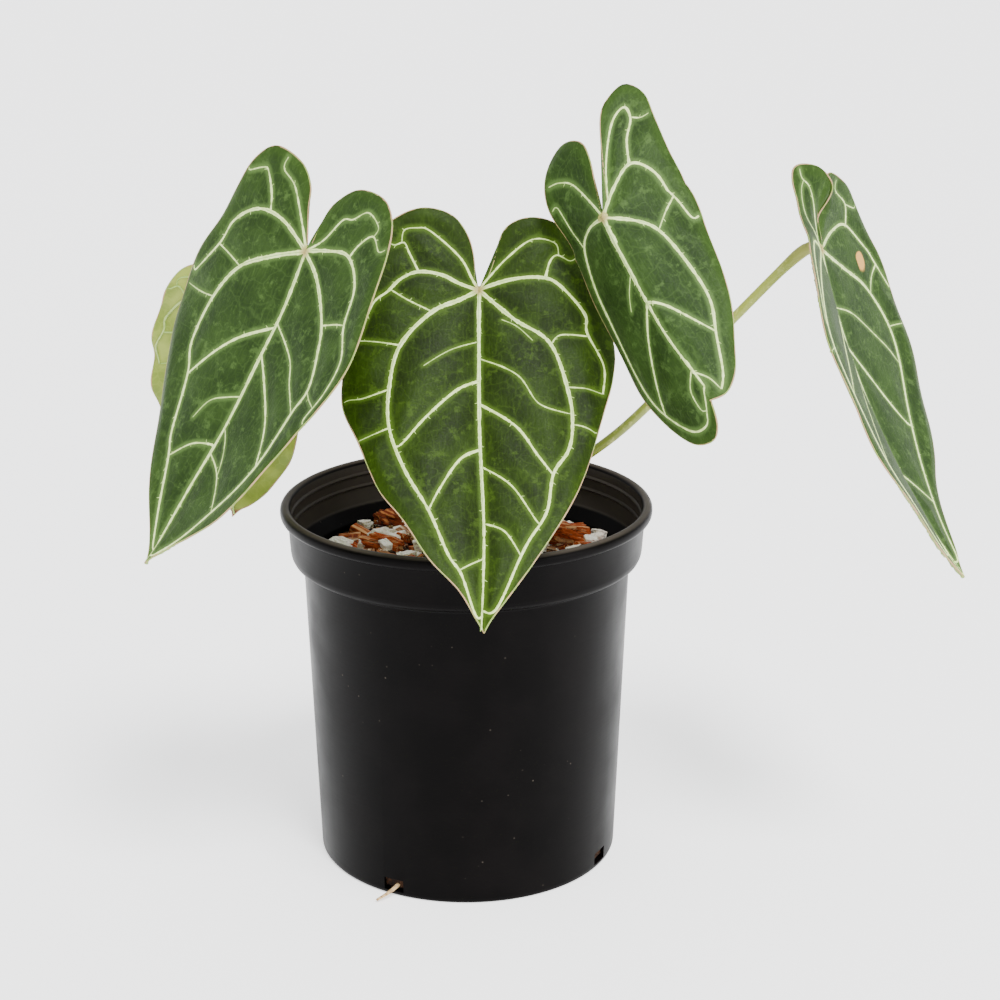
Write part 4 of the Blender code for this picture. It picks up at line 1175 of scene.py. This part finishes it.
# %% The profile of the pot, turned
# Radii, heights and thicknesses, in millimetres.
RIM, HEIGHT, COLLAR, COLLAR_LOW = 77.5, 154.0, 74.4, 131.0
BODY_TOP, BODY_LOW, WALL, FLOOR = 68.2, 63.6, 1.3, 3.2
inner = COLLAR - WALL
profile = [
    (0, FLOOR), (0, 0), (BODY_LOW - 1.6, 0), (BODY_LOW - 0.7, 0.25), (BODY_LOW - 0.1, 1.0),
    (BODY_LOW, 2.2), (BODY_TOP, COLLAR_LOW - 2.4), (BODY_TOP + 0.3, COLLAR_LOW - 1.5),
    (BODY_TOP + 1.2, COLLAR_LOW - 0.9), (COLLAR - 3.2, COLLAR_LOW - 0.4),
    (COLLAR - 1.9, COLLAR_LOW + 0.4), (COLLAR - 1.2, COLLAR_LOW + 1.8),
    (COLLAR - 0.9, COLLAR_LOW + 3.6), (COLLAR, HEIGHT - 5.6), (COLLAR + 0.2, HEIGHT - 5.2),
    (RIM - 1.2, HEIGHT - 5.0), (RIM - 0.5, HEIGHT - 4.6), (RIM - 0.1, HEIGHT - 3.8),
    (RIM, HEIGHT - 2.9), (RIM - 0.1, HEIGHT - 1.7), (RIM - 0.6, HEIGHT - 0.8),
    (RIM - 1.4, HEIGHT - 0.2), (RIM - 2.2, HEIGHT), (RIM - 3.0, HEIGHT - 0.1),
    (RIM - 3.6, HEIGHT - 0.6), (inner + 0.1, HEIGHT - 1.8),
]
# Two ridges run round inside the collar.
for depth in (6.0, 11.5):
    z = HEIGHT - depth
    profile += [(inner, z + 0.9), (inner - 0.5, z + 0.4), (inner - 0.7, z), (inner - 0.4, z - 0.5),
                (inner, z - 0.8)]
profile += [(inner - 0.4, 135.2), (inner - 0.8, 134.2), (BODY_TOP - WALL + 0.6, 129.6),
            (BODY_TOP - WALL, 128.4), (BODY_LOW - WALL, FLOOR)]
deselect()
mesh = bpy.data.meshes.new("pot_turned")
mesh.from_pydata([(r * MM, 0.0, z * MM) for r, z in profile],
                 [(i, (i + 1) % len(profile)) for i in range(len(profile))], [])
pot = bpy.data.objects.new("pot_turned", mesh)
bpy.context.scene.collection.objects.link(pot)
bpy.context.view_layer.objects.active = pot
pot.select_set(True)
turn = pot.modifiers.new("turn", "SCREW")
turn.steps = turn.render_steps = 144
turn.use_merge_vertices = True
turn.merge_threshold = 0.00001
turn.use_normal_calculate = True
bpy.ops.object.modifier_apply(modifier=turn.name)
print("points in the turned wall:", len(pot.data.vertices))

# %% [markdown]
# ## Drain slots
# Water leaves through four slots at the foot of the wall. A cutter box with rounded edges is added
# at each place, cut out of the wall with a Boolean modifier, and deleted. Where the wall turns
# sharply the shading is split, so the ledges stay crisp.

# %% Cutting the drain slots
SLOT_CENTRE, SLOT_SIZE = (65.1, 0.0, 4.75), (8.0, 9.0, 5.5)  # depth, width and height
for angle in SLOT_ANGLES:
    deselect()
    bpy.ops.mesh.primitive_cube_add(size=1.0)
    cutter = bpy.context.object
    cutter.matrix_world = (Matrix.Rotation(math.radians(angle), 4, "Z")
                           @ Matrix.Translation([c * MM for c in SLOT_CENTRE])
                           @ Matrix.Diagonal([c * MM for c in SLOT_SIZE] + [1.0]))
    corner = cutter.modifiers.new("round", "BEVEL")
    corner.width = 0.0016
    corner.segments = 3
    bpy.ops.object.modifier_apply(modifier=corner.name)
    bpy.context.view_layer.objects.active = pot
    cut = pot.modifiers.new("slot", "BOOLEAN")
    cut.object = cutter
    cut.solver = "EXACT"
    bpy.ops.object.modifier_apply(modifier=cut.name)
    bpy.data.objects.remove(cutter, do_unlink=True)
for polygon in pot.data.polygons:
    polygon.use_smooth = True
pot.data.materials.clear()
pot.data.materials.append(PLASTIC)
pot.data.set_sharp_from_angle(angle=math.radians(38))
give(pot, "black_plastic", "pot")
print("pot faces:", len(pot.data.polygons))

# %% [markdown]
# ## Bark
# Potting bark is broken pine bark: matt, with torn fibres along its length, pale where it broke
# fresh and dark in the cracks, where the relief is low: the bark's own dark layers with painted
# shade on top. The fibres follow the chip's own length however it lies, so the pattern reads
# coordinates kept on the chip's points before it was turned.

# %% Bark materials
def bark_material(name, main, light, dark):
    """Bark chip: fibres run along the chip, light and dark, over a rough break."""
    material, tree, shader = start_material(name, 0.86, Specular_IOR_Level=0.25)
    long_way = read(tree, "grain_x")
    cross = add_node(tree, "ShaderNodeCombineXYZ", 0, X=long_way, Y=read(tree, "grain_y"),
                     Z=read(tree, "grain_z"))
    fibre = add_node(tree, "ShaderNodeTexNoise", 0, Vector=cross, Scale=1.0, Detail=6.0,
                     Roughness=0.65)
    layer = add_node(tree, "ShaderNodeTexNoise", 0, Vector=cross, Scale=0.45, Detail=4.0)
    color = mixed(tree, ramped(tree, fibre, 0.30, 0.48), linear(dark), linear(main))
    color = mixed(tree, ramped(tree, layer, 0.50, 0.60, 0.0, 0.9), color, linear(light))
    # Painted shade: the low parts of the fibre relief, the cracks, are darkened once more.
    color = mixed(tree, ramped(tree, fibre, 0.38, 0.47, 0.85, 0.0), color, linear(dark))
    join_color(tree, shader, color, fibre, 1.0, 0.0014)
    return material


BARKS = {
    "orange": bark_material("bark_chip_fresh_orange", "#b04c1a", "#efb680", "#45190a"),
    "rust": bark_material("bark_chip_rust_brown", "#803415", "#cf8048", "#2c1007"),
    "tan": bark_material("bark_chip_weathered_tan", "#b5805a", "#f0d3b4", "#573320"),
    "dark": bark_material("bark_chip_dark_brown", "#3b2316", "#5d3b25", "#1c110b"),
}
print("barks:", ", ".join(BARKS))

# %% [markdown]
# ## Pumice and potting mix
# Pumice is cooled foam: pale and matt, with open pits about a millimetre across. The pebble is the
# same with greyer colours. The mix between them is moist coir and bark dust, dark and crumbly.

# %% Stone and mix materials
def stone_material(name, main, light, pit_shade):
    """Pumice or perlite: pale, full of small pits about a millimetre apart."""
    material, tree, shader = start_material(name, 0.92, Specular_IOR_Level=0.2)
    here = object_coords(tree)
    pits = add_node(tree, "ShaderNodeTexVoronoi", 0, Vector=here, Scale=900.0)
    cloud = add_node(tree, "ShaderNodeTexNoise", 0, Vector=here, Scale=260.0, Detail=5.0)
    color = mixed(tree, ramped(tree, cloud, 0.35, 0.7), linear(main), linear(light))
    # The pits are darkened: painted shade in their hollows.
    color = mixed(tree, ramped(tree, pits, 0.05, 0.3, 0.7, 0.0), color, linear(pit_shade))
    join_color(tree, shader, color, pits, 0.8, 0.0008)
    return material


STONE_WHITE = stone_material("pumice_porous_cream", "#f2e4d6", "#fffaf2", "#b09a84")
STONE_GREY = stone_material("pebble_grey_brown", "#8b8073", "#a79c8d", "#5c544b")
SOIL, tree, shader = start_material("potting_mix_moist_dark", 0.95, Specular_IOR_Level=0.2)
here = object_coords(tree)
lump = add_node(tree, "ShaderNodeTexNoise", 0, Vector=here, Scale=320.0, Detail=8.0,
                Roughness=0.7)
color = mixed(tree, ramped(tree, lump, 0.36, 0.66), linear("#1d120b"), linear("#4b2f1b"))
join_color(tree, shader, color, lump, 1.0, 0.002)
print("stones:", STONE_WHITE.name, STONE_GREY.name, "mix:", SOIL.name)

# %% [markdown]
# ## The ground
# The top of the mix waves gently and is rough at the scale of crumbs. It is a disc of rings lifted
# by noise, its rim turned down inside the pot and closed below. A subdivided plane would need its
# corners cut off, and rings fit a round pot at once.

# %% Ground of the mix
MIX_TOP, WAVE_END = 126.5, 64.0  # mm, the mean height and where the waves die out
GROUND_RADIUS, RINGS, STEPS = 66.6, 56, 150


def mix_height(x, y):
    """Height of the mix: the CAD mix's gentle waves that die out at the wall."""
    wave = math.sin(x / 9.0 + 0.6) * math.cos(y / 8.0) + 0.6 * math.sin((x + y) / 6.5)
    fade = max(0.0, 1.0 - (math.hypot(x, y) / WAVE_END) ** 4)
    return MIX_TOP + 1.1 * wave * fade


points, faces = [(0.0, 0.0, mix_height(0, 0))], []
radii = np.r_[np.linspace(1.2, GROUND_RADIUS, RINGS), 66.4, 62.0]
# No level: the height comes from the waves. The last two rings turn down the rim.
levels = [None] * RINGS + [120.0, FLOOR + 0.2]
for radius, level in zip(radii, levels):
    for k in range(STEPS):
        a = math.tau * k / STEPS
        x, y = radius * math.cos(a), radius * math.sin(a)
        z = level
        if level is None:
            z = mix_height(x, y) + 1.3 * noise.fractal(Vector((x / 4, y / 4, 0.3)), 1.0, 2.0, 4)
        points.append((x, y, z))
for k in range(STEPS):
    n = (k + 1) % STEPS
    faces.append((0, 1 + k, 1 + n))
    for r in range(len(radii) - 1):
        u = 1 + r * STEPS
        faces.append((u + k, u + STEPS + k, u + STEPS + n, u + n))
last_ring = 1 + (len(radii) - 1) * STEPS
faces.append(tuple(last_ring + k for k in reversed(range(STEPS))))
give(new_object("potting_mix_ground", points, faces, [SOIL]), "mix_brown", "potting_mix")
print("faces in the ground:", len(faces))

# %% [markdown]
# ## Crumbs
# Nearly two thousand crumbs, chips and grains are pressed into the ground, which reads as potting
# mix from every side. Each is a box of six faces pushed out of square, with its edges worn by a
# Bevel modifier. That many copies of a fine chip would be far too heavy.

# %% Crumbs in the mix
FIELD_RADIUS, STEM_CLEAR, WALL_CLEAR = 64.5, 10.5, 65.5  # mm from the axis


def hash_shift(text):
    """A number that differs from name to name and is the same on every run."""
    return sum((k + 1) * ord(c) for k, c in enumerate(text)) % 97 * 0.37


def grained(obj, local):
    """Keep the chip's own coordinates on its points: long fibres along x."""
    local = np.asarray(local)
    shift = hash_shift(obj.name)
    for key, values in (("grain_x", local[:, 0] * 0.10 + shift), ("grain_y", local[:, 1] * 1.1),
                        ("grain_z", local[:, 2] * 1.1 + shift)):
        attribute(obj, key, values)


def turned_points(local, heading, tilt, at):
    """Local points turned about Y then Z and moved."""
    turn = np.array(Matrix.Rotation(math.radians(heading), 3, "Z")
                    @ Matrix.Rotation(math.radians(tilt), 3, "Y"))
    return np.asarray(local) @ turn.T + np.asarray(at)


def crumb_field(name, count, low, high, materials, seed, sink, stones=False):
    """Many small pieces in one mesh, each a box pushed out of square and half pressed in."""
    rng = random.Random(seed)
    cube = [(x, y, z) for x in (-0.5, 0.5) for y in (-0.5, 0.5) for z in (-0.5, 0.5)]
    cube_faces = [(0, 1, 3, 2), (4, 6, 7, 5), (0, 4, 5, 1), (2, 3, 7, 6), (0, 2, 6, 4),
                  (1, 5, 7, 3)]
    points, faces, picks, local = [], [], [], []
    placed = 0
    while placed < count:
        radius = FIELD_RADIUS * math.sqrt(rng.random())
        a = rng.uniform(0, math.tau)
        if radius < STEM_CLEAR:
            continue
        x, y = radius * math.cos(a), radius * math.sin(a)
        long = rng.uniform(low, high)
        size = (long, long * rng.uniform(0.35, 0.7), long * rng.uniform(0.2, 0.45))
        if stones:
            size = (long, long * rng.uniform(0.75, 1.0), long * rng.uniform(0.6, 0.9))
        if radius + long / 2 > WALL_CLEAR:
            continue
        body = np.array([[c * s * rng.uniform(0.72, 1.1) for c, s in zip(p, size)]
                         for p in cube])
        z = mix_height(x, y) + size[2] * (0.5 - sink)
        base = len(points) * 8
        points.append(turned_points(body, rng.uniform(0, 360), rng.uniform(-22, 22), (x, y, z)))
        local.append(body + rng.uniform(0, 40))
        pick = rng.randrange(len(materials))
        for f in cube_faces:
            faces.append(tuple(i + base for i in f))
            picks.append(pick)
        placed += 1
    field = new_object(name, np.vstack(points), faces, materials, smooth=False, picks=picks)
    grained(field, np.vstack(local))
    bevel = field.modifiers.new("worn", "BEVEL")
    bevel.width = 0.00025
    bevel.segments = 1
    give(field, "pumice_cream_white" if stones else "bark_orange_brown")
    print(name, "pieces:", count)


crumb_field("mix_bark_chips", 240, 6.0, 13.0, [BARKS["orange"], BARKS["rust"], BARKS["tan"],
                                               BARKS["dark"]], 9, 0.1)
crumb_field("mix_bark_crumbs", 700, 2.5, 7.5, [BARKS["orange"], BARKS["rust"], BARKS["dark"],
                                               BARKS["tan"], BARKS["dark"]], 5, 0.0)
crumb_field("mix_fine_crumbs", 700, 1.2, 3.2, [BARKS["dark"], BARKS["dark"], BARKS["rust"],
                                               BARKS["tan"]], 6, 0.15)
crumb_field("mix_perlite_grains", 260, 2.2, 6.5, [STONE_WHITE], 7, -0.15, True)

# %% [markdown]
# ## The loose chips and stones
# The chips and stones that the eye rests on get finer meshes. A chip starts as a subdivided cube
# and a stone as a ball, because bark breaks along flat planes and pumice is worn round. Slanting
# cuts flatten both, noise roughens them, and each is sunk a little so that nothing hovers.

# %% Loose chips and stones
# Name, place, size, heading and tilt of each, in mm and degrees, and its bark.
CHIPS = [
    ("bark_rust", -34.0, 44.0, 16.0, 10.0, 7.0, -30.0, 10.0, "rust"),
    ("bark_tan", -13.0, 45.0, 18.0, 10.0, 6.0, 15.0, -9.0, "tan"),
    ("bark_orange", -36.0, 12.0, 20.0, 11.0, 7.0, -12.0, 8.0, "orange"),
    ("bark_pink", -20.0, 25.0, 14.0, 9.0, 5.0, 40.0, 0.0, "tan"),
    ("bark_big", 40.0, 17.0, 27.0, 15.0, 9.0, 25.0, 14.0, "orange"),
    ("bark_tan_right", 36.0, 40.0, 18.0, 10.0, 6.0, 130.0, 8.0, "tan"),
    ("bark_dark", 46.0, -10.0, 14.0, 9.0, 6.0, -35.0, 6.0, "dark"),
    ("bark_front", 2.0, -46.0, 20.0, 12.0, 6.0, 5.0, 6.0, "rust"),
    ("pumice_white", -38.0, 27.0, 11.0, 9.0, 8.0, 20.0, 0.0, None),
    ("pumice_cream", -55.0, 7.0, 13.0, 10.0, 9.0, 60.0, 0.0, None),
    ("pumice_right", 29.0, -5.0, 12.0, 10.0, 8.0, -20.0, 0.0, None),
    ("pumice_front", -26.0, -40.0, 9.0, 8.0, 7.0, 10.0, 0.0, None),
    ("perlite_a", -38.0, -6.0, 8.0, 7.0, 6.0, 0.0, 0.0, None),
    ("perlite_b", -27.0, -3.0, 7.0, 6.0, 6.0, 35.0, 0.0, None),
    ("perlite_c", -18.0, -16.0, 7.0, 6.0, 5.0, 15.0, 0.0, None),
    ("pebble_grey", 24.0, -48.0, 11.0, 9.0, 7.0, 50.0, 0.0, None),
]
for name, x, y, long, wide_way, tall, heading, tilt, kind in CHIPS:
    deselect()
    if kind:
        bpy.ops.mesh.primitive_cube_add(size=1.0)
        piece = bpy.context.object
        bpy.ops.object.mode_set(mode="EDIT")
        bpy.ops.mesh.subdivide(number_cuts=13)
        bpy.ops.object.mode_set(mode="OBJECT")
    else:
        bpy.ops.mesh.primitive_ico_sphere_add(subdivisions=4, radius=0.5)
        piece = bpy.context.object
    piece.name = name + "_fine"
    body = np.array([v.co[:] for v in piece.data.vertices])
    shift = hash_shift(name)
    # Flat breaks: everything past a slanting plane is pushed back onto it.
    cuts = random.Random(name)
    for _ in range(9 if kind else 7):
        away = np.array([cuts.uniform(-1, 1), cuts.uniform(-1, 1), cuts.uniform(-0.6, 1)])
        away /= np.linalg.norm(away)
        past = np.clip(body @ away - cuts.uniform(0.36, 0.50), 0, None)
        body = body - past[:, None] * away
    body = body * (long, wide_way, tall)
    out = body / (np.linalg.norm(body, axis=1)[:, None] + 1e-9)
    stretch = (0.16, 0.50, 0.50) if kind else (0.3, 0.3, 0.3)
    offset = Vector((shift, 0, 0))
    rough_by = np.array([noise.fractal(Vector(p * stretch) + offset, 1.0, 2.0, 5)
                         for p in body])
    body = body + out * (rough_by * (1.7 if kind else 0.9))[:, None]
    placed = turned_points(body, heading, tilt, (x, y, 0.0))
    lift = max(mix_height(p[0], p[1]) - p[2] for p in placed[::7]) - 0.8
    placed = (placed + (0.0, 0.0, lift)) * MM
    piece.data.vertices.foreach_set("co", placed.reshape(-1))
    piece.data.update()
    for polygon in piece.data.polygons:
        polygon.use_smooth = True
    piece.data.materials.clear()
    stone = STONE_GREY if name == "pebble_grey" else STONE_WHITE
    piece.data.materials.append(BARKS[kind] if kind else stone)
    grained(piece, body + shift)
    give(piece, "bark_orange_brown" if kind else "pumice_cream_white", name)
print("pieces on the mix:", len(CHIPS))

# %% [markdown]
# ## The studio
# The photograph is a bright studio picture: a pale grey-white room and hardly any shadow. Walls
# and lamps could be built, but a softly glowing floor and a bright sky give the same even white.

# %% Floor and sky
FLOOR_PAINT, tree, shader = start_material("studio_floor_pale_grey", 0.9,
                                           Specular_IOR_Level=0.1)
shader.inputs["Base Color"].default_value = linear("#f7f7f8")
# The floor glows a little, like a light table, so it stays near white.
shader.inputs["Emission Color"].default_value = linear("#ffffff")
shader.inputs["Emission Strength"].default_value = 1.1
deselect()
bpy.ops.mesh.primitive_plane_add(size=60.0, location=(0, 0, 0))
floor = bpy.context.object
floor.name = "studio_floor"
floor.data.materials.append(FLOOR_PAINT)
world = bpy.data.worlds.new("studio")
world.use_nodes = True
world.node_tree.nodes["Background"].inputs["Color"].default_value = linear("#f1f2f3")
world.node_tree.nodes["Background"].inputs["Strength"].default_value = 1.3
bpy.context.scene.world = world
print("floor:", floor.name, "sky:", world.name)

# %% [markdown]
# ## Lights
# A wide sun from above the front right lights the leaves and gives soft shadows. A small soft
# light low at the right draws the grey reflection down the pot, and a weak one at the left fills
# the shade. One lamp alone would leave the black pot without an edge.

# %% Lights
def area_light(name, at, target, size, power):
    """A soft square light aimed at a point."""
    lamp = bpy.data.lights.new(name, "AREA")
    lamp.size = size
    lamp.energy = power
    holder = bpy.data.objects.new(name, lamp)
    holder.location = at
    holder.rotation_euler = (Vector(target) - Vector(at)).to_track_quat("-Z", "Y").to_euler()
    bpy.context.scene.collection.objects.link(holder)


sun = bpy.data.lights.new("key_from_above", "SUN")
sun.energy = 4.2
sun.angle = math.radians(20.0)
key = bpy.data.objects.new("key_from_above", sun)
key_way = Vector((-0.35, 0.7, -1.2))
key.rotation_euler = key_way.to_track_quat("-Z", "Y").to_euler()
bpy.context.scene.collection.objects.link(key)
area_light("side_right", (0.9, -0.5, 0.35), (0, 0, 0.12), 0.5, 5.0)
area_light("fill_left", (-1.1, -0.8, 0.7), (0, 0, 0.2), 1.2, 4.0)
print("lights:", len(bpy.data.lights))

# %% [markdown]
# ## Camera
# The camera stands where the photograph was taken from, which the ellipses of the pot's rim and
# foot tell: 850 mm in front, 425 mm up, tilted down by 17.7 degrees, with a long lens.

# %% Camera
camera_data = bpy.data.cameras.new("camera")
camera_data.sensor_width = 36.0
camera_data.lens = 77.04
camera_data.clip_start = 0.01
camera = bpy.data.objects.new("camera", camera_data)
camera.location = (0.014, -0.850, 0.425)
camera.rotation_euler = (math.radians(72.3), 0.0, 0.0)
bpy.context.scene.collection.objects.link(camera)
bpy.context.scene.camera = camera
print("camera height:", round(camera.location.z, 3), "m")
